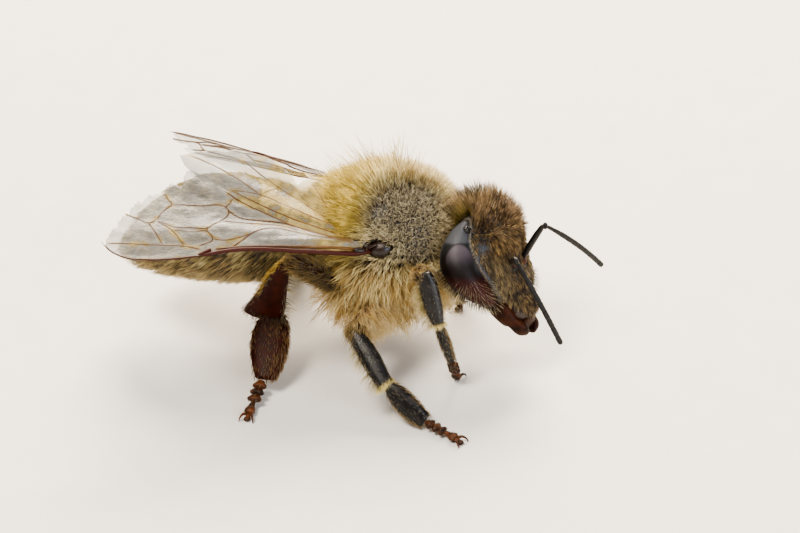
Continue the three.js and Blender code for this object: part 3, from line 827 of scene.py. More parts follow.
# ---- wings, drawn flat: u out along the wing, v from the leading edge back ----
FORE_LEAD = ((0.1, -0.22), (0.5, -0.28), (2.2, -0.25), (3.6, -0.21), (5.0, -0.28), (6.0, -0.48),
             (7.0, -0.62), (7.8, -0.66), (8.55, -0.55), (9.0, -0.28), (9.2, 0.02))
FORE_REAR = ((0.1, 0.02), (0.4, 0.13), (1.5, 0.37), (2.3, 0.71), (3.2, 1.15), (4.4, 1.9), (4.7, 2.2),
             (5.2, 2.68), (5.9, 3.05), (6.5, 2.72), (7.1, 2.3), (7.6, 2.02), (8.2, 1.45), (8.6, 0.95),
             (9.0, 0.42), (9.2, 0.08))
HIND_LEAD = ((0, 0), (0.5, -0.1), (2, -0.36), (3.3, -0.42), (4.5, -0.2), (5.5, 0.2), (6.1, 0.52), (6.3, 0.76))
HIND_REAR = ((0, 0.1), (0.6, 0.5), (1.0, 0.62), (1.15, 1.1), (1.4, 1.52), (1.75, 1.68), (2.15, 1.5),
             (2.35, 1.22), (2.6, 1.42), (3.2, 1.72), (3.9, 1.8), (4.8, 1.66), (5.6, 1.28), (6.1, 0.98),
             (6.3, 0.82))
FORE_VEINS = (  # radius, darkness, points
    (0.085, 0.8, ((0.05, -0.2), (0.5, -0.27), (2.16, -0.24), (3.59, -0.2), (5.04, -0.27), (6.0, -0.48))),
    (0.034, 0.6, ((6.0, -0.48), (6.9, -0.6), (7.8, -0.64), (8.55, -0.53), (8.96, -0.29), (9.15, -0.02))),
    (0.06, 0.5, ((0.4, -0.12), (1.5, -0.1), (3.0, -0.09), (4.4, -0.13), (5.5, -0.22))),
    (0.075, 0.8, ((5.6, -0.24), (5.8, -0.33), (6.05, -0.45))),
    (0.029, 0.35, ((5.9, -0.25), (6.4, -0.12), (7.2, -0.07), (8.0, -0.04), (8.6, 0.0), (9.05, -0.02))),
    (0.029, 0.4, ((7.51, 0.82), (7.35, 0.4), (7.18, -0.06))),
    (0.029, 0.4, ((7.21, 0.93), (6.83, 0.55), (6.45, -0.1))),
    (0.029, 0.4, ((7.21, 0.95), (7.51, 0.82), (7.9, 1.05), (8.23, 1.2))),
    (0.029, 0.4, ((5.99, -0.1), (5.47, 0.19), (5.62, 0.47), (6.1, 0.45), (6.82, 0.54))),
    (0.029, 0.4, ((5.47, 0.19), (5.12, 0.13), (4.5, 0.27), (4.06, 0.44))),
    (0.032, 0.45, ((6.56, 1.62), (5.6, 1.58), (4.78, 1.53), (4.7, 1.4), (5.05, 0.95), (5.4, 0.74),
                  (5.58, 0.6), (6.07, 0.62), (6.74, 0.67), (7.2, 0.97))),
    (0.029, 0.4, ((5.6, 0.6), (5.62, 0.47))),
    (0.029, 0.4, ((6.56, 1.62), (6.95, 1.3), (7.2, 0.97))),
    (0.029, 0.4, ((6.56, 1.62), (6.7, 1.95), (6.75, 2.1))),
    (0.029, 0.4, ((4.78, 1.53), (4.6, 1.7), (4.5, 1.85))),
    (0.034, 0.5, ((4.78, 1.5), (4.41, 1.12), (3.75, 1.01), (2.96, 0.93), (1.8, 0.42), (0.6, 0.05))),
    (0.032, 0.45, ((5.05, 0.95), (4.18, 0.86), (3.1, 0.8), (2.4, 0.6))),
    (0.031, 0.5, ((4.95, -0.2), (4.5, 0.12), (4.06, 0.44), (3.58, 0.62), (3.1, 0.63), (2.65, 0.51),
                  (2.07, 0.36), (1.5, 0.22), (0.5, 0.0))),
    (0.031, 0.4, ((4.72, 2.15), (4.38, 1.85), (3.16, 1.11), (2.28, 0.68), (1.47, 0.35), (0.4, 0.1))),
)
HIND_VEINS = (
    (0.031, 0.45, ((0.05, 0.02), (0.8, -0.03), (2.0, -0.07), (3.3, 0.0), (4.4, 0.15))),
    (0.029, 0.35, ((0.2, 0.1), (1.2, 0.18), (2.4, 0.28), (3.4, 0.35), (4.4, 0.15))),
    (0.026, 0.35, ((3.4, 0.35), (4.2, 0.62), (5.2, 0.85), (6.0, 0.9))),
    (0.026, 0.35, ((0.3, 0.2), (1.4, 0.5), (2.6, 0.85), (3.6, 1.15), (4.3, 1.45))),
    (0.026, 0.35, ((2.9, 0.95), (3.2, 0.6), (3.4, 0.36))),
    (0.026, 0.35, ((0.6, 0.35), (1.2, 0.75), (1.6, 1.15), (1.9, 1.4))),
)
WEAR = {"right": (0.6, 3.1), "left": (0.7, 7.7)}     # depth of the notches and the place in their pattern
WING_THICKNESS = 0.018


def wing_relief(u, v):
    """Height of the membrane: soft pleats that fan out from the root, flatter towards the tip."""
    fan = v / (0.25 + 0.22 * u)
    pleat = 0.09 * np.sin(4.2 * fan + 0.4) * np.exp(-0.14 * u) + 0.025 * np.abs(np.sin(5 * fan + 0.5 * u))
    places = np.column_stack([u * 2.2, v * 3.4, np.zeros(len(u))])
    crinkle = np.array([noise.noise(Vector(place)) for place in places])
    return pleat + (0.014 + 0.035 * np.exp(-0.4 * u)) * crinkle - 0.0018 * (u - 4.5) ** 2


def torn(u, v, wear, first):
    """Wears a rear edge into uneven notches beyond u = first."""
    depth, phase = wear
    notch = np.array([noise.noise(Vector((x * 2.0, phase, 0)))
                      + 0.7 * abs(noise.noise(Vector((x * 6.0, phase, 5))))
                      + 0.35 * abs(noise.noise(Vector((x * 15.0, phase, 9)))) for x in u])
    return v - depth * rise(u, first, first + 0.4) * np.clip(notch + 0.3, 0, 2)


def membrane(lead, rear, along, across, side, wear, first):
    """A wing's sheet between its leading and rear edges, with real thickness."""
    front, back = smooth_through(lead), smooth_through(rear)
    reach = lead[-1][0]
    even = np.linspace(0, 1, along + 1)
    u = reach * (0.7 * even + 0.15 * (1 - np.cos(np.pi * even)))
    v0 = front(u)[:, 0]
    v1 = np.maximum(v0 + 0.05, torn(u, back(u)[:, 0], wear, first))
    made = bmesh.new()
    bmesh.ops.create_grid(made, x_segments=along, y_segments=across, size=1)
    cells = [(round((vert.co.x + 1) / 2 * along), (vert.co.y + 1) / 2) for vert in made.verts]
    out = np.array([u[i] for i, share in cells])
    rear = np.array([v0[i] + (v1[i] - v0[i]) * share for i, share in cells])
    for vert, a, b, c in zip(made.verts, out, rear, wing_relief(out, rear)):
        vert.co = (a, side * b, c)
    bmesh.ops.recalc_face_normals(made, faces=made.faces)
    bmesh.ops.solidify(made, geom=made.faces, thickness=WING_THICKNESS)
    bmesh.ops.recalc_face_normals(made, faces=made.faces)
    return made


def golden(sheet, side, rows, low, high, full):
    """How golden each point of a wing's sheet is: from the root out, and beside its veins; the gold is partly
    the membrane's amber and partly painted sheen.
    """
    ways = [through_points([(u, side * v, 0) for u, v in points])(np.linspace(0, 1, 40))
            for _, _, points in rows]
    tree = kdtree.KDTree(40 * len(ways))
    for i, place in enumerate(np.concatenate(ways)):
        tree.insert(place, i)
    tree.balance()
    gap = np.array([tree.find((vert.co.x, vert.co.y, 0))[2] for vert in sheet.verts])
    out = np.array([vert.co.x for vert in sheet.verts])
    return list(np.maximum(full * (1 - rise(out, low, high)), 0.5 * (1 - rise(gap, 0.03, 0.22))))


def veins(rows, side):
    """A wing's veins as tubes that follow the membrane, and how dark each is."""
    shapes, dark = [], []
    for radius, darkness, points in rows:
        way = through_points([(u, v, 0) for u, v in points])(np.linspace(0, 1, 5 * len(points)))
        way = np.column_stack([way[:, 0], side * way[:, 1], wing_relief(way[:, 0], way[:, 1])])
        shapes.append(tube(way, radius, radius * 0.75, 8, len(way)))
        out = np.array([vert.co.x for vert in shapes[-1].verts])
        near_root = 0.35 if darkness < 0.7 else 1.0
        dark += list(darkness * mix(near_root, 1, rise(out, 0.8, 4.0)))
    return shapes, dark


class BEE_OT_wings(bpy.types.Operator):
    """Fore and hind wings with their veins, and the scales and plates at their roots"""
    bl_idname = "bee.wings"
    bl_label = "Wings"

    def execute(self, context):
        for hand, side in HANDS.items():
            fore, hind = wing_frame(hand), hindwing_frame(hand)
            sheet = membrane(FORE_LEAD, FORE_REAR, 190, 34, side, WEAR[hand], 5.6)
            piece(f"forewing_sheet_{hand}", [sheet], fore, wing_membrane(), "membrane",
                  f"forewing_{hand}", gold=golden(sheet, side, FORE_VEINS, 0.5, 5.0, 0.65))
            sheet = membrane(HIND_LEAD, HIND_REAR, 110, 22, side, (0.1, WEAR[hand][1]), 4.6)
            piece(f"hindwing_sheet_{hand}", [sheet], hind, wing_membrane(), "membrane",
                  f"hindwing_{hand}", gold=golden(sheet, side, HIND_VEINS, 2.0, 6.2, 0.85))
            shapes, dark = veins(FORE_VEINS, side)
            piece(f"forewing_veins_{hand}", shapes, fore, wing_vein(), "brown_chitin", darkness=dark)
            shapes, dark = veins(HIND_VEINS, side)
            piece(f"hindwing_veins_{hand}", shapes, hind, wing_vein(), "brown_chitin", darkness=dark)
            centre = handed(TEGULA_CENTRE, side)
            tilt = placed(0, 0, 0, side * -20, -12, 0)
            lobes = [ball((0.4, 0.31, 0.29), centre, 5, tilt),
                     ball((0.2, 0.16, 0.16), (centre[0] - 0.26, centre[1], centre[2] - 0.12), 4, tilt)]
            ridge = [(centre[0] - 0.4, centre[1] + side * 0.1, centre[2] - 0.08),
                     (centre[0] - 0.33, centre[1] + side * 0.19, centre[2] + 0.13),
                     (centre[0] - 0.1, centre[1] + side * 0.19, centre[2] + 0.25)]
            lobes.append(tube(ridge, 0.045, 0.045, 10, 20))
            piece(f"wing_scale_{hand}", lobes, BODY, scale_chitin(), "black_chitin", f"tegula_{hand}")
            plates = [ball((0.3, 0.14, 0.12), (0.12, side * -0.05, 0.0), 3),
                      ball((0.16, 0.2, 0.1), (0.3, side * 0.12, 0.03), 3),
                      ball((0.22, 0.1, 0.09), (0.55, side * -0.22, 0.02), 3),
                      ball((0.25, 0.09, 0.08), (0.6, side * 0.14, 0.0), 3)]
            piece(f"wing_root_plates_{hand}", plates, fore, scale_chitin(), "brown_chitin")
        return {"FINISHED"}


# ---- legs: knots are (share of the length, half width, half depth, aside) ----
SEGMENTS = {
    "femur": ((0, 0.12, 0.12, 0), (0.08, 0.2, 0.18, 0), (0.17, 0.17, 0.15, 0), (0.3, 0.28, 0.24, 0),
              (0.6, 0.32, 0.26, 0), (0.88, 0.24, 0.2, 0), (1, 0.16, 0.16, 0)),
    "front_tibia": ((0, 0.16, 0.14, 0.15), (0.2, 0.3, 0.18, 0.1), (0.45, 0.32, 0.2, 0.05),
                    (0.75, 0.275, 0.18, 0.015), (1, 0.17, 0.15, 0)),
    "mid_tibia": ((0, 0.18, 0.15, 0.01), (0.22, 0.285, 0.18, 0.045), (0.53, 0.335, 0.19, 0.035),
                  (0.85, 0.295, 0.18, 0), (1, 0.27, 0.17, 0)),
    "hind_tibia": ((0, 0.12, 0.12, 0), (0.12, 0.19, 0.13, -0.05), (0.25, 0.27, 0.14, -0.11),
                   (0.45, 0.39, 0.15, -0.12), (0.65, 0.49, 0.16, -0.1), (0.84, 0.61, 0.17, -0.09),
                   (0.95, 0.64, 0.16, -0.12), (1, 0.6, 0.15, -0.14)),
    "front_basitarsus": ((0, 0.12, 0.11, 0), (0.25, 0.15, 0.12, 0), (0.8, 0.13, 0.11, 0),
                         (1, 0.1, 0.09, 0)),
    "mid_basitarsus": ((0, 0.15, 0.13, 0.05), (0.12, 0.25, 0.15, 0.05), (0.35, 0.33, 0.17, 0.02),
                       (0.7, 0.335, 0.16, -0.015), (1, 0.24, 0.14, 0)),
    "hind_basitarsus": ((0, 0.44, 0.12, 0.12), (0.07, 0.5, 0.14, 0.16), (0.16, 0.56, 0.15, 0.2),
                        (0.33, 0.63, 0.15, 0.18), (0.51, 0.635, 0.16, 0.175), (0.72, 0.54, 0.15, 0.15),
                        (0.93, 0.39, 0.13, 0.13), (1, 0.33, 0.12, 0.12)),
}


def segment_knots(leg, segment):
    return SEGMENTS["femur" if segment == "femur" else f"{leg.split('_')[0]}_{segment}"]


class BEE_OT_legs(bpy.types.Operator):
    """Six legs: thigh, shin, broad first foot joint and the jointed foot with its claws"""
    bl_idname = "bee.legs"
    bl_label = "Legs"

    def execute(self, context):
        for leg, joints in LEG_JOINTS.items():
            kind = leg.split("_")[0]
            shell = maroon_chitin() if kind == "hind" else black_chitin()
            slot = "brown_chitin" if kind == "hind" else "black_chitin"
            for i, segment in enumerate(("femur", "tibia", "basitarsus")):
                start, end = Vector(joints[i]), Vector(joints[i + 1])
                flat = {"femur": 2.0, "tibia": 2.6 if kind == "hind" else 2.15, "basitarsus": 2.4}[segment]
                dome = 0.12 if segment == "femur" else 0.035
                shape = limb((end - start).length, segment_knots(leg, segment), 24, 56, dome, flat,
                             (0, 0.03 if segment == "femur" else 0.0))
                if kind == "hind" and segment == "tibia":
                    for vert in shape.verts:
                        share = float(rise(vert.co.y / (end - start).length, 0.75, 1.0))
                        vert.co.y -= 0.26 * share * (vert.co.x - 0.3)
                finish = (maroon_chitin(), "brown_chitin") if segment == "femur" else (shell, slot)
                piece(f"{segment}_{leg}", [shape], GROUND @ limb_frame(start, end), *finish,
                      f"leg_{leg}_{segment}")
            shapes = self.foot(Vector(joints[3]), Vector(joints[4]), 1.3 if kind == "hind" else 1.05)
            piece(f"foot_{leg}", shapes, GROUND, amber_chitin(), "amber_chitin", f"leg_{leg}_tarsus")
        return {"FINISHED"}

    def foot(self, sole, claws, broad):
        """Three short joints, a long one, two curved claws and the pad between them, on the ground."""
        ahead = Vector((claws.x - sole.x, claws.y - sole.y, 0)).normalized()
        aside = Vector((-ahead.y, ahead.x, 0))
        wrist = claws - ahead * 0.16 + Vector((0, 0, 0.15))
        way = wrist - sole
        reach = way.length
        shapes = []
        for i in range(3):
            start = sole + way * (0.02 + 0.19 * i)
            joint = limb(reach * 0.22, ((0, 0.08 * broad, 0.07, 0), (0.35, 0.12 * broad, 0.09, 0),
                                        (0.8, 0.185 * broad, 0.12, 0), (1, 0.13 * broad, 0.1, 0)),
                         16, 18, 0.16, 2.3)
            bmesh.ops.transform(joint, matrix=limb_frame(start, wrist, aside), verts=joint.verts)
            shapes.append(joint)
        last = limb(reach * 0.42, ((0, 0.07, 0.06, 0), (0.4, 0.1, 0.08, 0), (0.85, 0.17, 0.12, 0),
                                   (1, 0.13, 0.1, 0)), 16, 24, 0.12)
        bmesh.ops.transform(last, matrix=limb_frame(sole + way * 0.58, wrist, aside), verts=last.verts)
        shapes.append(last)
        for side in (-1, 1):
            bend = [wrist + aside * side * 0.05,
                    wrist + aside * side * 0.15 + ahead * 0.12 + Vector((0, 0, 0.05)),
                    wrist + aside * side * 0.22 + ahead * 0.26 - Vector((0, 0, 0.03)),
                    wrist + aside * side * 0.24 + ahead * 0.3 - Vector((0, 0, 0.14))]
            shapes.append(tube(bend, 0.06, 0.016, 10, 16))
        shapes.append(ball((0.09, 0.09, 0.07), wrist + ahead * 0.03 - Vector((0, 0, 0.05)), 3))
        pad = ball((0.11, 0.13, 0.07), (0, 0, 0), 3)
        centre = claws + Vector((0, 0, 0.07))
        bmesh.ops.transform(pad, matrix=limb_frame(centre, centre + ahead, aside), verts=pad.verts)
        shapes.append(pad)
        return shapes


# ---- the coat ----
PATCH = 0.003            # side of a hair's patch on the coat's map
TRIANGLE = np.array([0.0, 2.0, 4.0]) * np.pi / 3
# Shares of each part's hairs that its pieces and their layers have.
# The flank's under layer is painted shade: short, dark hairs beneath the long ones.
THORAX_LAYERS = {"back": {"worn": 0.23, "tall": 0.42, "stray": 0.005}, "flank": {"under": 0.11, "long": 0.31}}
HEAD_ZONES = {"face": 0.42, "nape": 0.5}
ABDOMEN_LEVELS = {"back": 0.26, "belly": 0.24}
# Points along a hair, how wavy it is, how far it leans into its lock and how many hairs share a lock.
THORAX_HAIRS = {"worn": (3, 0.03, 0.0, 5), "tall": (4, 0.06, 0.4, 8), "stray": (5, 0.05, 0.0, 5),
                "under": (3, 0.0, 0.3, 6), "long": (5, 0.18, 0.6, 9)}
LEG_HAIRS = {"femur": 1700, "tibia": 800, "basitarsus": 520, "foot": 130}     # on each leg
MORE_LEG_HAIRS = {("hind", "basitarsus"): 1.7, ("mid", "femur"): 1.3}
EYE_HAIR_GAP, EYE_HAIR_LENGTH = 0.052, 0.38


class Roots:
    """Places where hairs stand on a surface: points, normals and a random source."""

    def __init__(self, surface, count, density, seed):
        points, normals, triangles = surface
        corners = points[triangles]
        area = np.linalg.norm(np.cross(corners[:, 1] - corners[:, 0], corners[:, 2] - corners[:, 0]), axis=1)
        weight = area * density(corners.mean(1), unit(normals[triangles].mean(1)))
        self.random = np.random.default_rng(seed)
        pick = self.random.choice(len(triangles), count, p=weight / weight.sum())
        a, b = np.sqrt(self.random.random(count)), self.random.random(count)
        shares = np.stack([1 - a, a * (1 - b), a * b], 1)[:, :, None]
        self.points = (corners[pick] * shares).sum(1)
        self.normals = unit((normals[triangles[pick]] * shares).sum(1))
        self.count = count

    def thinned(self, gap):
        """Leaves out roots nearer than a gap to another, so that hairs stand evenly."""
        kept = []
        for i, point in enumerate(self.points):
            if not kept or np.linalg.norm(self.points[kept] - point, axis=1).min() > gap:
                kept.append(i)
        self.points, self.normals, self.count = self.points[kept], self.normals[kept], len(kept)
        return self

    def spread(self, low, high):
        return self.random.uniform(low, high, self.count)

    def tangent(self, direction):
        """The part of a direction, or of one for each hair, that lies along the skin."""
        rows = np.broadcast_to(np.asarray(direction, float), self.points.shape)
        return unit(rows - self.normals * (rows * self.normals).sum(1, keepdims=True))


def hairs(roots, where, start, end, length, width, root_colour, tip_colour, place,
          points=5, wave=0.0, clump=0.0, clump_size=12, fade=(0.0, 0.9)):
    """Tapered three-sided hairs as arrays: vertices in metres, colours, places on the map and rings."""
    t = np.linspace(0, 1, points)[None, :, None]
    long = np.broadcast_to(length, roots.count)[:, None, None]
    bend = unit(start)[:, None] * (t - t * t / 2) + unit(end)[:, None] * (t * t / 2)
    path = roots.points[:, None] + long * bend
    aside = unit(np.cross(start, roots.random.normal(size=(roots.count, 3))))
    phase = roots.spread(0, 2 * np.pi)[:, None, None]
    path = path + aside[:, None] * long * wave * t * np.sin(7.5 * t + phase)
    if clump:
        leaders = np.arange(0, roots.count, clump_size)
        tree = kdtree.KDTree(len(leaders))
        for i in leaders:
            tree.insert(roots.points[i], int(i))
        tree.balance()
        nearest = np.array([tree.find(p)[1] for p in roots.points])
        path = path + clump * t ** 1.5 * (path[nearest] - path)
    tangent = unit(np.gradient(path, axis=1))
    across = unit(np.cross(tangent, roots.random.normal(size=(roots.count, 1, 3))))
    through = np.cross(tangent, across)
    radius = np.broadcast_to(width, roots.count)[:, None, None] / 2 * (1 - 0.8 * t ** 1.6)
    rings = (path[:, :-1, None] + (radius * across)[:, :-1, None] * np.cos(TRIANGLE)[:, None]
             + (radius * through)[:, :-1, None] * np.sin(TRIANGLE)[:, None])
    verts = np.concatenate([rings.reshape(roots.count, -1, 3), path[:, -1:]], 1)
    shade = np.concatenate([np.repeat(t[0, :-1, 0], 3), [1.0]])[None, :, None]
    colour = root_colour[:, None] + (tip_colour - root_colour)[:, None] * rise(shade, *fade)
    corner = np.concatenate([np.tile([0.0, 0.5, 1.0], points - 1), [0.5]])
    patch = np.stack([corner - 0.5, shade[0, :, 0] - 0.5], 1) * PATCH
    spot = place[:, None] + patch[None]
    return {"verts": moved(verts.reshape(-1, 3), where) * MM, "colour": colour.reshape(-1, 3),
            "map": spot.reshape(-1, 2), "count": roots.count, "rings": points - 1}


def hair_faces(rings):
    """One hair's faces: its base, its sides ring by ring, and its tip."""
    faces = [[2, 1, 0]]
    for ring in range(rings - 1):
        low, high = 3 * ring, 3 * ring + 3
        faces += [[low + k, low + (k + 1) % 3, high + (k + 1) % 3, high + k] for k in range(3)]
    last = 3 * (rings - 1)
    faces += [[last + k, last + (k + 1) % 3, last + 3] for k in range(3)]
    return faces


def coat_piece(name, batches, slot):
    """Joins batches of hairs into one piece with its colours and its map."""
    loops, totals, first = [], [], 0
    for batch in batches:
        faces = hair_faces(batch["rings"])
        size = 3 * batch["rings"] + 1
        starts = first + size * np.arange(batch["count"])
        loops.append((starts[:, None] + np.concatenate(faces)[None]).ravel())
        totals.append(np.tile([len(face) for face in faces], batch["count"]))
        first += size * batch["count"]
    loops, totals = np.concatenate(loops), np.concatenate(totals)
    verts = np.concatenate([batch["verts"] for batch in batches])
    mesh = bpy.data.meshes.new(name)
    mesh.vertices.add(len(verts))
    mesh.vertices.foreach_set("co", verts.astype(np.float32).ravel())
    mesh.loops.add(len(loops))
    mesh.loops.foreach_set("vertex_index", loops.astype(np.int32))
    mesh.polygons.add(len(totals))
    mesh.polygons.foreach_set("loop_start", np.concatenate([[0], np.cumsum(totals)[:-1]]).astype(np.int32))
    mesh.update(calc_edges=True)
    colours = np.concatenate([batch["colour"] for batch in batches])
    mark_colours(mesh, "coat_colour", colours)
    places = np.concatenate([batch["map"] for batch in batches])
    flat = mesh.uv_layers.new(name="OFBake")
    flat.data.foreach_set("uv", places[loops].astype(np.float32).ravel())
    flat.active_render = True
    return settle(bpy.data.objects.new(name, mesh), hair_keratin(), slot)


def unwrapped(points, centre, pole):
    """Places on a round map of a part: longitude about one axis and latitude along it."""
    q = unit(points - np.array(centre))
    first, second = [axis for axis in range(3) if axis != pole]
    turn = np.arctan2(q[:, first], q[:, second]) / (2 * np.pi) + 0.5
    along = np.arccos(np.clip(q[:, pole], -1, 1)) / np.pi
    return np.column_stack([turn, along])


def fitted(places):
    """Spreads a piece's places over its whole map."""
    low, high = places.min(0), places.max(0)
    return 0.01 + 0.98 * (places - low) / (high - low)


def noisy(points, size, seed):
    """A smooth pattern over points, from 0 to 1, with patches of a size in millimetres."""
    offset = Vector((seed * 17.3, seed * 5.1, seed * 9.7))
    return np.array([noise.noise(Vector(p) / size + offset) for p in points]) * 0.5 + 0.5


def swirl(points, size, seed):
    """Smoothly changing directions over points, so that hairs part in locks."""
    # Without a seed of its own, Blender takes these directions from the clock.
    noise.seed_set(1)
    offset = Vector((seed * 7.7, seed * 3.3, seed * 12.1))
    return np.array([noise.noise_vector(Vector(p) / size + offset) for p in points])


def tone(colour):
    """A colour as one linear row, to mix with rows."""
    return np.array([linear(colour)])


def paint(roots, colours, low=0.86, high=1.14):
    """Colours with each hair a little lighter or darker than the next."""
    return colours * roots.spread(low, high)[:, None]


class BEE_OT_coat_thorax(bpy.types.Operator):
    """The thorax's coat: worn short on top, golden behind, long, pale and wavy on the sides"""
    bl_idname = "bee.coat_thorax"
    bl_label = "Coat of the thorax"

    def execute(self, context):
        surface = skin_of(THORAX_PART, BODY)
        seed = 11
        for hand, side in HANDS.items():
            for level, layers in THORAX_LAYERS.items():
                batches = []
                for layer, share in layers.items():
                    count = int(looks().thorax_hairs * share / 2)
                    roots = Roots(surface, count, lambda p, n: self.density(p, side, level, layer), seed)
                    batches.append(self.batch(roots, side, layer))
                    seed += 1
                coat_piece(f"coat_thorax_{level}_{hand}", batches, "coat")
        return {"FINISHED"}

    def worn(self, d):
        """How far the top is rubbed short, most on its right half."""
        right = rise(d @ np.array(unit(np.array([0.38, -0.6, 0.66]))), 0.7, 0.82)
        left = rise(d @ np.array(unit(np.array([0.36, 0.5, 0.7]))), 0.75, 0.95)
        return np.maximum(right, 0.3 * left)

    def density(self, p, side, level, layer):
        d = unit((p - THORAX_CENTRE) / THORAX_SKIN)
        upper = d[:, 2] > 0.1
        wanted = (p[:, 1] * side > 0) & (upper if level == "back" else ~upper)
        root = np.array(handed(TEGULA_CENTRE, side)) - (0.05, 0, 0)
        clear = rise(np.linalg.norm((p - root) / (1.0, 1.0, 0.8), axis=1), 0.3, 0.5)
        bald = 1 - 0.85 * np.exp(-(np.linalg.norm(p - (0.11, -0.95, 1.68), axis=1) / 0.22) ** 2)
        worn = self.worn(d)
        peak = rise(d @ unit(np.array([-0.15, 0.0, 1.0])), 0.75, 0.95)
        amount = {"worn": worn + 0.02, "tall": 1.02 - worn, "stray": peak + 0.01}.get(layer, 1.0)
        return wanted * (clear + 0.02) * bald * amount

    def batch(self, roots, side, layer):
        look = looks()
        p, n = roots.points, roots.normals
        d = unit((p - THORAX_CENTRE) / THORAX_SKIN)
        worn = self.worn(d)
        collar = rise(d[:, 0], 0.55, 0.85)
        rear = rise(-d[:, 0], 0.05, 0.4) * rise(d[:, 2], -0.15, 0.3)
        low = rise(-d[:, 2], -0.15, 0.25)
        root = np.array(handed(TEGULA_CENTRE, side))
        beside = 1 - rise(np.linalg.norm(p - root, axis=1), 0.55, 0.95)
        fan = roots.tangent(p - root - (0, 0, 0.2))
        down, back = roots.tangent((-0.15, 0, -1)), roots.tangent((-1, 0, 0.2))
        stray = roots.random.normal(size=p.shape) * mix(mix(0.16, 0.09, low), 0.42, worn)[:, None]
        lock = swirl(p, 0.45, 2) * (0.6 * low[:, None] + 0.15)
        start = n + mix(0.1 * back, 0.7 * fan, low) + rear[:, None] * back * 0.3 + stray
        end = mix(n + 0.1 * back, 0.12 * n + 0.75 * fan + 0.6 * down, low) + rear[:, None] * back * 0.5
        start, end = mix(start, n + stray, collar), mix(end, n + 0.3 * down, collar)
        end = end + stray * 1.3 + lock
        length = mix(mix(0.98, 1.5, low), 0.21, worn)
        length = mix(mix(length, 0.5, collar), 0.38, beside) * roots.spread(0.7, 1.12)
        tail = (roots.random.random(roots.count) < 0.05) & (worn < 0.2)
        length = length * np.where(tail, 1.4, 1.0) * {"under": 0.5, "stray": 1.85}.get(layer, 1.0)
        tip, root = self.colours(roots, layer, worn, rear, collar, low, beside)
        place = fitted(unwrapped(p, THORAX_CENTRE, 0))
        width = look.hair_width * roots.spread(0.7, 1.1) * (0.95 if layer == "worn" else 1.0)
        return hairs(roots, BODY, start, end, length * look.hair_length, width, root, tip, place,
                     *THORAX_HAIRS[layer])

    def colours(self, roots, layer, worn, rear, collar, low, beside):
        look, p = looks(), roots.points
        patch = noisy(p, 0.5, 3)
        lively = rise(noisy(p, 0.16, 9) + roots.spread(-0.12, 0.12), 0.3, 0.7)
        cream = mix(tone("#d3ae68"), tone(look.cream_hair), lively)
        buff = mix(tone("#a2884a"), tone(look.buff_hair), lively)
        gold = mix(tone("#a08828"), tone(look.golden_hair), lively)
        grey = mix(tone("#8a7b5c"), tone(look.worn_hair), roots.spread(0, 1) ** 1.3)
        tip = mix(mix(buff, cream, low), gold, rear)
        root = mix(mix(tone("#4f3c18"), tone("#9c7a40"), low), tone("#5c4a0e"), rear)
        tip, root = mix(tip, grey, worn), mix(root, tone("#463b2f"), worn)
        tip, root = mix(tip, tone("#d6c292"), collar * 0.7), mix(root, tone("#54421f"), collar)
        tip = mix(tip, tone("#e8dab0"), beside * 0.6)
        # Painted shade: the under layer's hairs are half as bright, beneath the long hair.
        if layer == "under":
            tip, root = tip * 0.5, root * 0.5
        if layer == "stray":
            root = tip * 0.7
        shade = mix(0.85, 1.1, patch)[:, None]
        return paint(roots, tip * shade), paint(roots, root)


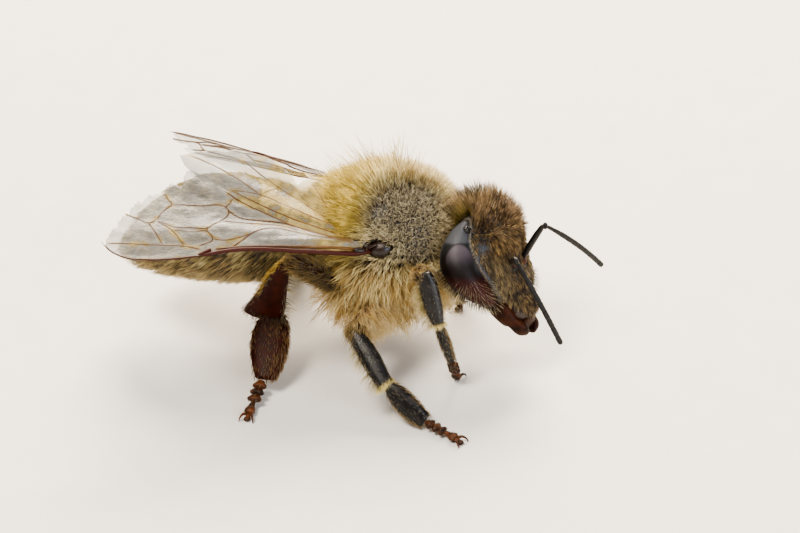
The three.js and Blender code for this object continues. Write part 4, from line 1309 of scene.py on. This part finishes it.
class BEE_OT_coat_head(bpy.types.Operator):
    """The head's coat: tall brown tufts on the crown, short streaks on the face, pale cheeks"""
    bl_idname = "bee.coat_head"
    bl_label = "Coat of the head"

    def execute(self, context):
        surface = skin_of(HEAD_PART, HEAD, HEAD_IN_BODY)
        for seed, (zone, share) in enumerate(HEAD_ZONES.items(), 31):
            count = int(looks().head_hairs * share)
            roots = Roots(surface, count, lambda p, n: self.density(p, n, zone), seed)
            coat_piece(f"coat_head_{zone}", [self.batch(roots, zone)], "brown_coat")
        for hand, side in HANDS.items():
            self.eye_hairs(hand, side)
        return {"FINISHED"}

    def density(self, p, n, zone):
        front = (n[:, 0] > 0.1) & (p[:, 2] < 1.0)
        bare = np.ones(len(p))
        for side in HANDS.values():
            bare *= rise(eye_depth(p, side), 1.1, 1.16)
            socket = np.linalg.norm(p - handed(SOCKET, side), axis=1)
            bare *= rise(socket, 0.16, 0.36)
        for lens in OCELLI:
            bare *= rise(np.linalg.norm(p - np.array(lens), axis=1), 0.14, 0.26)
        bare *= 1 - 0.85 * np.exp(-(np.linalg.norm(p - VERTEX_PATCH, axis=1) / 0.3) ** 2)
        bare *= 1 - 0.95 * near_temple(p)
        bare *= 1 - rise(p[:, 0], 0.35, 0.55) * rise(-p[:, 2], 0.8, 1.0) * (zone == "nape")
        lip = 1 - rise(beard(p), -0.12, 0.02)
        return (front if zone == "face" else ~front) * bare * lip

    def batch(self, roots, zone):
        look = looks()
        p, n = roots.points, roots.normals
        front, below = rise(n[:, 0], -0.2, 0.4), rise(-p[:, 2], 0.0, 0.8)
        crown = rise(p[:, 2], 0.65, 1.35)
        frons = front * rise(p[:, 2], 0.1, 0.5)
        orbit = np.maximum(*(1 - rise(eye_depth(p, side), 1.15, 1.35) for side in HANDS.values())) * front
        cheek = front * rise(np.abs(p[:, 1]), 0.3, 0.75) * (1 - frons)
        stray = roots.random.normal(size=p.shape) * mix(0.16, 0.1, front)[:, None]
        stray = stray + swirl(p, 0.4, 6) * mix(mix(0.2, 0.35, frons), 0.4, crown)[:, None]
        lively = roots.spread(0, 1) ** 1.4
        rows = np.ones(len(p))
        down = roots.tangent(np.column_stack([0 * rows, -0.25 * p[:, 1], -rows]))
        out = roots.tangent(np.column_stack([-rows, np.sign(p[:, 1]) * 0.25, -0.35 - 0.5 * below]))
        lie = mix(out, down, front)
        tilt = np.column_stack([0.25 * front - 0.1, 0 * rows, 0.4 + 0 * rows])
        start = mix(mix(0.7, 0.42, front)[:, None] * n + 0.8 * lie, n + tilt, crown) + stray
        end = mix(mix(0.25, 0.1, front)[:, None] * n + 1.0 * lie, n + 1.5 * tilt, crown) + stray
        rubbed = np.exp(-(np.linalg.norm(p - VERTEX_PATCH, axis=1) / 0.5) ** 2)
        tall = mix(1.0, 0.6, rise(p[:, 0], -0.25, 0.55)) * (1 - 0.75 * rubbed)
        face_length = mix(0.3, 0.24, below) + 0.08 * cheek
        length = mix(mix(mix(0.4, 0.42, below), face_length, front), tall, crown)
        length = length * (1 - 0.5 * rise(near_temple(p), 0.1, 0.5))
        locks = rise(noisy(p, 0.13, 17), 0.3, 0.65)
        face_tip, face_root = mix(tone("#2c1e10"), tone(look.face_hair), lively * locks), tone("#120a05")
        face_tip = mix(face_tip, mix(tone("#5c4424"), tone("#d6b476"), lively * locks), frons)
        pale_band = np.maximum(orbit * 0.6, cheek * 0.4) * (0.2 + 0.8 * lively * locks)
        face_tip = mix(face_tip, tone("#e2d1a2"), pale_band)
        side_tip = mix(mix(tone("#7d6a2e"), tone("#cdb468"), lively),
                       mix(tone("#bda878"), tone("#efe3bd"), lively), below)
        side_root = mix(tone("#33270c"), tone("#5b4726"), below)
        tip, root = mix(side_tip, face_tip, front), mix(side_root, face_root, front)
        fringe = rise(noisy(p, 0.35, 13), 0.4, 0.62)
        dark_crown = mix(mix(tone("#1c130a"), tone("#87704a"), fringe),
                         mix(tone("#3b2a14"), tone("#c4a276"), lively * (0.3 + 0.7 * locks)), 0.75 * front)
        gold_crown = mix(mix(tone("#76642c"), tone("#a9924c"), lively), tone("#3c2c18"),
                         rise(p[:, 0], -0.2, 0.5))
        tip, root = mix(tip, dark_crown, crown), mix(root, gold_crown, crown)
        tip, root = paint(roots, tip), paint(roots, root)
        length = length * roots.spread(0.6, 1.15) * look.hair_length
        place = fitted(unwrapped(p, (0, 0, 0), 2))
        width = look.hair_width * roots.spread(0.5, 0.85) * (1.15 if zone == "face" else 1.0)
        return hairs(roots, HEAD, start, end, length, width, root, tip, place,
                     3 if zone == "face" else 4, 0.05, 0.35, 4, (0.1, 0.8))

    def eye_hairs(self, hand, side):
        """Fine hairs that stand evenly between the facets of the lower half of an eye."""
        centre = np.array(handed(EYE_CENTRE, side))

        def density(p, n):
            low = centre[2] - p[:, 2]
            rear = rise(centre[0] - p[:, 0], 0.3, 0.5) * rise(low, 0.0, 0.3)
            return (skull_depth(p) > 1.0) * np.maximum(rise(low, 0.4, 0.8), rear)
        surface = surface_of(f"compound_eye_{hand}", HEAD)
        roots = Roots(surface, looks().eye_hairs, density, 51 + side).thinned(EYE_HAIR_GAP)
        n = roots.normals
        middle = centre + (EYE_HALF[0], side * EYE_HALF[1], 0.25)
        away = roots.tangent(roots.points - middle)
        stray = roots.random.normal(size=n.shape) * 0.03
        length = EYE_HAIR_LENGTH * roots.spread(0.85, 1.1)
        tip = paint(roots, tone("#e6d8ae") * np.ones((roots.count, 1)))
        root = paint(roots, tone("#1c0b06") * np.ones((roots.count, 1)))
        place = fitted(unwrapped(roots.points, centre, 1))
        batch = hairs(roots, HEAD, n + 0.3 * away + stray, 0.7 * n + 0.7 * away + stray, length,
                      looks().hair_width * 0.5, root, tip, place, points=4, fade=(0.45, 1.0))
        coat_piece(f"coat_eye_{hand}", [batch], "brown_coat")


class BEE_OT_coat_abdomen(bpy.types.Operator):
    """The abdomen's coat: short tan felt at the rings' fronts, longer backward hairs on the sides"""
    bl_idname = "bee.coat_abdomen"
    bl_label = "Coat of the abdomen"

    def execute(self, context):
        surface = skin_of(ABDOMEN_PART, BODY)
        seed = 71
        for hand, side in HANDS.items():
            for level, share in ABDOMEN_LEVELS.items():
                count = int(looks().abdomen_hairs * share)
                roots = Roots(surface, count, lambda p, n: self.density(p, n, side, level), seed)
                seed += 1
                coat_piece(f"coat_abdomen_{level}_{hand}", [self.batch(roots, level)], "dark_coat")
        return {"FINISHED"}

    def density(self, p, n, side, level):
        upper = n[:, 2] > 0.15
        band = 1 - rise(ring_phase(p[:, 0], p[:, 2]), 0.3, 0.5)
        return (p[:, 1] * side > 0) * (upper if level == "back" else ~upper) * (0.45 + band)

    def batch(self, roots, level):
        look = looks()
        p, n = roots.points, roots.normals
        band = (1 - rise(ring_phase(p[:, 0], p[:, 2]), 0.3, 0.5)) * (n[:, 2] > -0.2)
        flank = 1 - rise(np.abs(n[:, 2]), 0.4, 0.85)
        front = rise(p[:, 0], -4.2, -2.6)
        back = roots.tangent((-1, 0, -0.35))
        stray = roots.random.normal(size=p.shape) * 0.14
        start = 0.6 * n + back + stray
        end = mix(0.15 * n + back, 0.3 * n + back + (0, 0, -0.25), flank) + stray
        length = mix(0.3, 0.66, flank) * mix(1.0, 0.8, band) + 0.25 * front
        length = length * roots.spread(0.7, 1.15) * look.hair_length
        fine = rise(noisy(p, 0.14, 8) + roots.spread(-0.15, 0.15), 0.3, 0.7)
        tan = mix(tone("#94804c"), tone(look.abdomen_hair), fine)
        brown = mix(tone("#6b5630"), tone("#dcc084"), fine)
        tip = mix(brown, tan, np.maximum(band, front))
        root = mix(tone("#1d150a"), tone("#5b4726"), band * 0.6)
        tip = mix(tip, tone("#e6cf9a"), rise(-n[:, 2], 0.0, 0.7) * 0.7)
        tip, root = paint(roots, tip), paint(roots, root)
        place = fitted(np.column_stack([np.arctan2(p[:, 1], p[:, 2]) / (2 * np.pi), p[:, 0] / 8]))
        width = look.hair_width * roots.spread(0.55, 0.85)
        return hairs(roots, BODY, start, end, length, width, root, tip, place,
                     3 if level == "back" else 4, 0.06, 0.45, 7)


class BEE_OT_coat_legs(bpy.types.Operator):
    """The legs' hairs: long on the thighs, short and silvery on the shins, combs on the hind feet"""
    bl_idname = "bee.coat_legs"
    bl_label = "Coat of the legs"

    def execute(self, context):
        for hand, side in HANDS.items():
            batches = []
            for i, kind in enumerate(("front", "mid", "hind")):
                for j in range(4):
                    cell, seed = (i * 4 + j) / 12, 91 + i * 10 + j + side * 3
                    batches.append(self.batch(kind, hand, side, j, cell, seed))
            coat_piece(f"coat_legs_{hand}", batches, "brown_chitin")
        return {"FINISHED"}

    def batch(self, kind, hand, side, j, cell, seed):
        look, leg, segment = looks(), f"{kind}_{hand}", list(LEG_HAIRS)[j]
        start, end = (Vector(joint) for joint in LEG_JOINTS[leg][j:j + 2])
        where = GROUND @ limb_frame(start, end)
        reach = (end - start).length
        surface = surface_of(f"{segment}_{leg}", where)
        hind = kind == "hind"
        knots = smooth_through(segment_knots(leg, segment)) if segment != "foot" else None

        def edge(p):
            """How near points are to the segment's front (+) or rear (-) margin."""
            if knots is None:
                return np.zeros(len(p))
            rows = knots(p[:, 1] / reach)
            return (p[:, 0] - rows[:, 2]) / rows[:, 0]

        def density(p, n):
            t, rim = p[:, 1] / reach, rise(np.abs(edge(p)), 0.7, 0.95)
            if segment == "femur":
                return 0.5 + rise(t, -0.2, 0.3)
            if segment == "tibia":
                inner = n[:, 2] * side < 0.3
                rear = rise(-edge(p), 0.5, 0.9) * (3.5 * (t < 0.75) if hind else 3.0)
                end_tuft = (1.5 if hind else 9.0) * rise(t, 0.9, 0.97)
                return (0.6 * inner if hind else 0.35) + rim * 1.2 + rear + end_tuft
            if segment == "foot":
                return (t < 0.85) * 1.0
            front_half = rise(edge(p), -0.3, 0.4) * hind
            return 0.3 + rim + 1.5 * front_half + 1.2 * hind * (1 - rise(t, 0.08, 0.2))
        count = LEG_HAIRS[segment] * MORE_LEG_HAIRS.get((kind, segment), 1)
        roots = Roots(surface, int(count * look.leg_hairs), density, seed)
        p, n = roots.points, roots.normals
        t, rim = p[:, 1] / reach, edge(p)
        fringe, heel = rise(np.abs(rim), 0.7, 0.95), rise(t, 0.9, 0.97)
        along = roots.tangent((0, 1, 0))
        stray = roots.random.normal(size=p.shape) * 0.12
        start_way, end_way = 0.45 * n + along + stray, 0.15 * n + 1.1 * along + stray
        shade = noisy(p, 0.2, 4)
        dark, bristle = tone("#1d1008"), mix(tone("#6b5e48"), tone("#c6b690"), shade)
        pale = mix(tone("#c2ab78"), tone("#f2e4b8"), shade)
        if segment == "femur":
            near_trunk = {"front": 1.0, "mid": 1 - rise(t, 0.75, 1.0), "hind": 0.0}[kind] + 0 * t
            length = mix(mix(0.36, 0.56, rise(t, 0.3, 0.9)), 0.36 if kind == "front" else 0.7, near_trunk)
            length = length * mix(1.0, 0.6, rise(t, 0.93, 1.0))
            brown, flaxen = mix(tone("#63502a"), tone("#bfa266"), shade), mix(tone("#d3ae68"), pale, shade)
            tip, root = mix(brown, flaxen, near_trunk), mix(tone("#2c2010"), tone("#8e6a34"), near_trunk)
            start_way, end_way = 0.7 * n + 0.8 * along + stray, 0.2 * n + along + stray - (0, 0, 0.3 * side)
            swept = near_trunk[:, None] * (0.7, -0.3, -0.5 * side) * (kind == "mid")
            start_way, end_way = start_way + 0.7 * swept, end_way + 1.3 * swept
        elif segment == "tibia":
            front_rim = rise(rim, 0.0, 0.3) if hind else 0
            long_rim = fringe * np.maximum(rise(-rim, 0.0, 0.3) * (not hind), front_rim)
            gold_rim = fringe * rise(-rim, 0.0, 0.3) * hind * (1 - rise(t, 0.6, 0.8))
            long_rim = long_rim * rise(t, 0.1, 0.3)
            length = mix(mix(0.09, 0.5, long_rim), 0.22, gold_rim)
            length = mix(length, 0.3 if hind else 0.24, heel)
            tip = mix(mix(bristle, pale, long_rim), tone("#d9b650"), gold_rim)
            tip = mix(tip, tone("#6b5028" if hind else "#f4e6a8"), heel)
            root = mix(dark, tone("#2c1a0a" if hind else "#c9b468"), np.maximum(heel, 0.5 * long_rim))
            root = mix(root, tone("#8a6c24"), gold_rim)
            start_way = mix(start_way, n + 0.3 * along + stray, fringe)
            end_way = mix(end_way, 0.8 * n + 0.6 * along + stray, long_rim)
        elif segment == "basitarsus":
            top = (1 - rise(t, 0.08, 0.2)) * hind
            length = mix(mix(0.2 if hind else 0.1, 0.24, fringe), 0.28, top)
            tip = mix(mix(bristle, tone("#a8864c"), fringe * 0.6), tone("#96682f"), hind * 0.7)
            tip, root = mix(tip, tone("#5b4020"), top), dark
        else:
            length = 0.12
            tip, root = bristle, dark
        length = length * roots.spread(0.7, 1.2)
        ones = np.ones((roots.count, 1))
        around = np.arctan2(p[:, 0], p[:, 2]) / (2 * np.pi) + 0.5
        place = np.column_stack([cell + 0.002 + around * (1 / 12 - 0.004), np.clip(t, 0, 1) * 0.98 + 0.01])
        wide = {"femur": 1.35, "basitarsus": 1.5 if hind else 1.0}.get(segment, 1.0)
        width = look.hair_width * roots.spread(0.4, 0.65) * wide
        return hairs(roots, where, start_way, end_way, length, width,
                     paint(roots, root * ones), paint(roots, tip * ones), place, points=3)


# ---- the stage ----
def area_light(name, place, target, size, power, colour):
    lamp = bpy.data.lights.new(name, "AREA")
    lamp.shape, lamp.size, lamp.energy, lamp.color = "DISK", size, power, linear(colour)
    made = bpy.data.objects.new(name, lamp)
    made.location = place
    made.rotation_euler = (target - place).to_track_quat("-Z", "Y").to_euler()
    bpy.context.scene.collection.objects.link(made)


def camera_axes():
    """The camera's right and up directions and the way back to it, rolled."""
    turn, height, roll = (math.radians(CAMERA[name]) for name in ("turn", "height", "roll"))
    right = Vector((math.cos(turn), math.sin(turn), 0))
    back = Vector((math.sin(turn) * math.cos(height), -math.cos(turn) * math.cos(height), math.sin(height)))
    up = back.cross(right)
    rolled = right * math.cos(roll) - up * math.sin(roll)
    return rolled, right * math.sin(roll) + up * math.cos(roll), back


class BEE_OT_stage(bpy.types.Operator):
    """The pale floor, soft studio lights and the camera"""
    bl_idname = "bee.stage"
    bl_label = "Stage"

    def execute(self, context):
        look = looks()
        floor = bmesh.new()
        bmesh.ops.create_grid(floor, x_segments=1, y_segments=1, size=FLOOR_HALF)
        ground = bpy.data.objects.new("floor", mesh_of("floor", floor))
        context.scene.collection.objects.link(ground)
        ground.data.materials.append(matt_paper())
        right, up, back = camera_axes()
        middle = GROUND @ Vector((0, 0, BODY_HEIGHT))
        eye = middle + right * CAMERA["aside"] - up * CAMERA["down"] + back * CAMERA["distance"]
        lens = bpy.data.cameras.new("view")
        lens.lens, lens.sensor_width, lens.clip_start, lens.clip_end = LENS, SENSOR, 0.001, 10
        camera = bpy.data.objects.new("view", lens)
        camera.matrix_world = Matrix.Translation(eye * MM) @ Matrix((right, up, back)).transposed().to_4x4()
        context.scene.collection.objects.link(camera)
        context.scene.camera = camera
        target = middle * MM
        area_light("key", target + (back * 0.12 - right * 0.14 + Vector((0, 0, 0.26))), target, 0.14,
                   look.light * 1.0, "#fff6e8")
        area_light("fill", target + (back * 0.22 + right * 0.16 - up * 0.02), target, 0.2,
                   look.light * 0.35, "#eef3ff")
        area_light("rim", target + (-back * 0.16 + right * 0.03 + Vector((0, 0, 0.2))), target, 0.12,
                   look.light * 0.7, "#fff1de")
        context.scene.view_settings.look = "AgX - Medium High Contrast"
        world = bpy.data.worlds.new("studio")
        world.use_nodes = True
        world.node_tree.nodes["Background"].inputs["Color"].default_value = (*linear("#efe7dc"), 1)
        world.node_tree.nodes["Background"].inputs["Strength"].default_value = look.ambient
        context.scene.world = world
        return {"FINISHED"}


def shade_property(name, description, colour):
    """A colour that a maker would change, from its sRGB hex value."""
    return FloatVectorProperty(name=name, description=description, subtype="COLOR", min=0, max=1,
                               default=linear(colour))


class BeeLooks(bpy.types.PropertyGroup):
    """Sizes and amounts that a maker would change"""
    hair_width: FloatProperty(name="Hair width", description="Width of a hair's root in mm", default=0.027,
                              min=0.01, max=0.1)
    hair_length: FloatProperty(name="Hair length", description="Length of the coat against life", default=1.0,
                               min=0.3, max=1.5, subtype="FACTOR")
    thorax_hairs: IntProperty(name="Thorax hairs", description="Hairs on the thorax", default=41000)
    head_hairs: IntProperty(name="Head hairs", description="Hairs on the head", default=18000)
    eye_hairs: IntProperty(name="Eye hairs", description="Hairs tried on each eye", default=2500)
    abdomen_hairs: IntProperty(name="Abdomen hairs", description="Hairs on the abdomen", default=23000)
    leg_hairs: FloatProperty(name="Leg hairs", description="Hairs on the legs, as a share", default=1.0)
    golden_hair: shade_property("Golden hair", "Hair tips behind the wings", "#efd67a")
    cream_hair: shade_property("Cream hair", "Hair tips on the thorax's sides", "#fff0b6")
    buff_hair: shade_property("Buff hair", "Hair tips on the thorax's top", "#f0e0a8")
    worn_hair: shade_property("Worn hair", "Hair tips where the top is rubbed short", "#e8dcba")
    face_hair: shade_property("Face hair", "Hair tips on the face", "#c6a672")
    abdomen_hair: shade_property("Abdomen hair", "Hair tips on the abdomen's bands", "#e6d6a0")
    # The black shell's palest tone is painted sheen.
    black_shell_sheen: shade_property("Black shell", "Palest tone of the black shell", "#191717")
    maroon_shell: shade_property("Maroon shell", "Palest tone of the hind legs", "#361409")
    amber_shell: shade_property("Amber shell", "Palest tone of the feet", "#5f371d")
    # The eyes' slate and violet are painted reflections.
    eye_slate_reflection: shade_property("Eye slate", "Bloom on the top of the eyes", "#44464b")
    eye_violet_reflection: shade_property("Eye violet", "Bloom on the middle of the eyes", "#4a434a")
    # The wings' middle tone is partly painted sheen.
    membrane: shade_property("Wing membrane", "Middle tone of the wings", "#94928c")
    vein: shade_property("Leading veins", "Tone of the wings' leading edges", "#3b140b")
    floor: shade_property("Floor", "Palest tone of the floor", "#e4e1dc")
    light: FloatProperty(name="Lights", description="Power of the key light", default=1.6, unit="POWER")
    ambient: FloatProperty(name="Ambient", description="Strength of the light all round", default=0.4)


class BEE_PT_parts(bpy.types.Panel):
    """Lists the bee's sizes and the steps that build it"""
    bl_idname = "BEE_PT_parts"
    bl_label = "Honey bee"
    bl_space_type = "VIEW_3D"
    bl_region_type = "UI"
    bl_category = "Bee"

    def draw(self, context):
        for name in BeeLooks.__annotations__:
            self.layout.prop(looks(), name)
        for step in STEPS:
            self.layout.operator(step.bl_idname)


STEPS = (BEE_OT_skin, BEE_OT_eyes, BEE_OT_feelers, BEE_OT_mouth, BEE_OT_wings, BEE_OT_legs,
         BEE_OT_coat_thorax, BEE_OT_coat_head, BEE_OT_coat_abdomen, BEE_OT_coat_legs, BEE_OT_stage)
CLASSES = (BeeLooks, *STEPS, BEE_PT_parts)


def register():
    for made in CLASSES:
        bpy.utils.register_class(made)
    bpy.types.Scene.bee_looks = PointerProperty(type=BeeLooks)


def unregister():
    del bpy.types.Scene.bee_looks
    for made in reversed(CLASSES):
        bpy.utils.unregister_class(made)


def main():
    register()
    bpy.ops.bee.skin()
    bpy.ops.bee.eyes()
    bpy.ops.bee.feelers()
    bpy.ops.bee.mouth()
    bpy.ops.bee.wings()
    bpy.ops.bee.legs()
    bpy.ops.bee.coat_thorax()
    bpy.ops.bee.coat_head()
    bpy.ops.bee.coat_abdomen()
    bpy.ops.bee.coat_legs()
    bpy.ops.bee.stage()


if __name__ == "__main__":
    main()
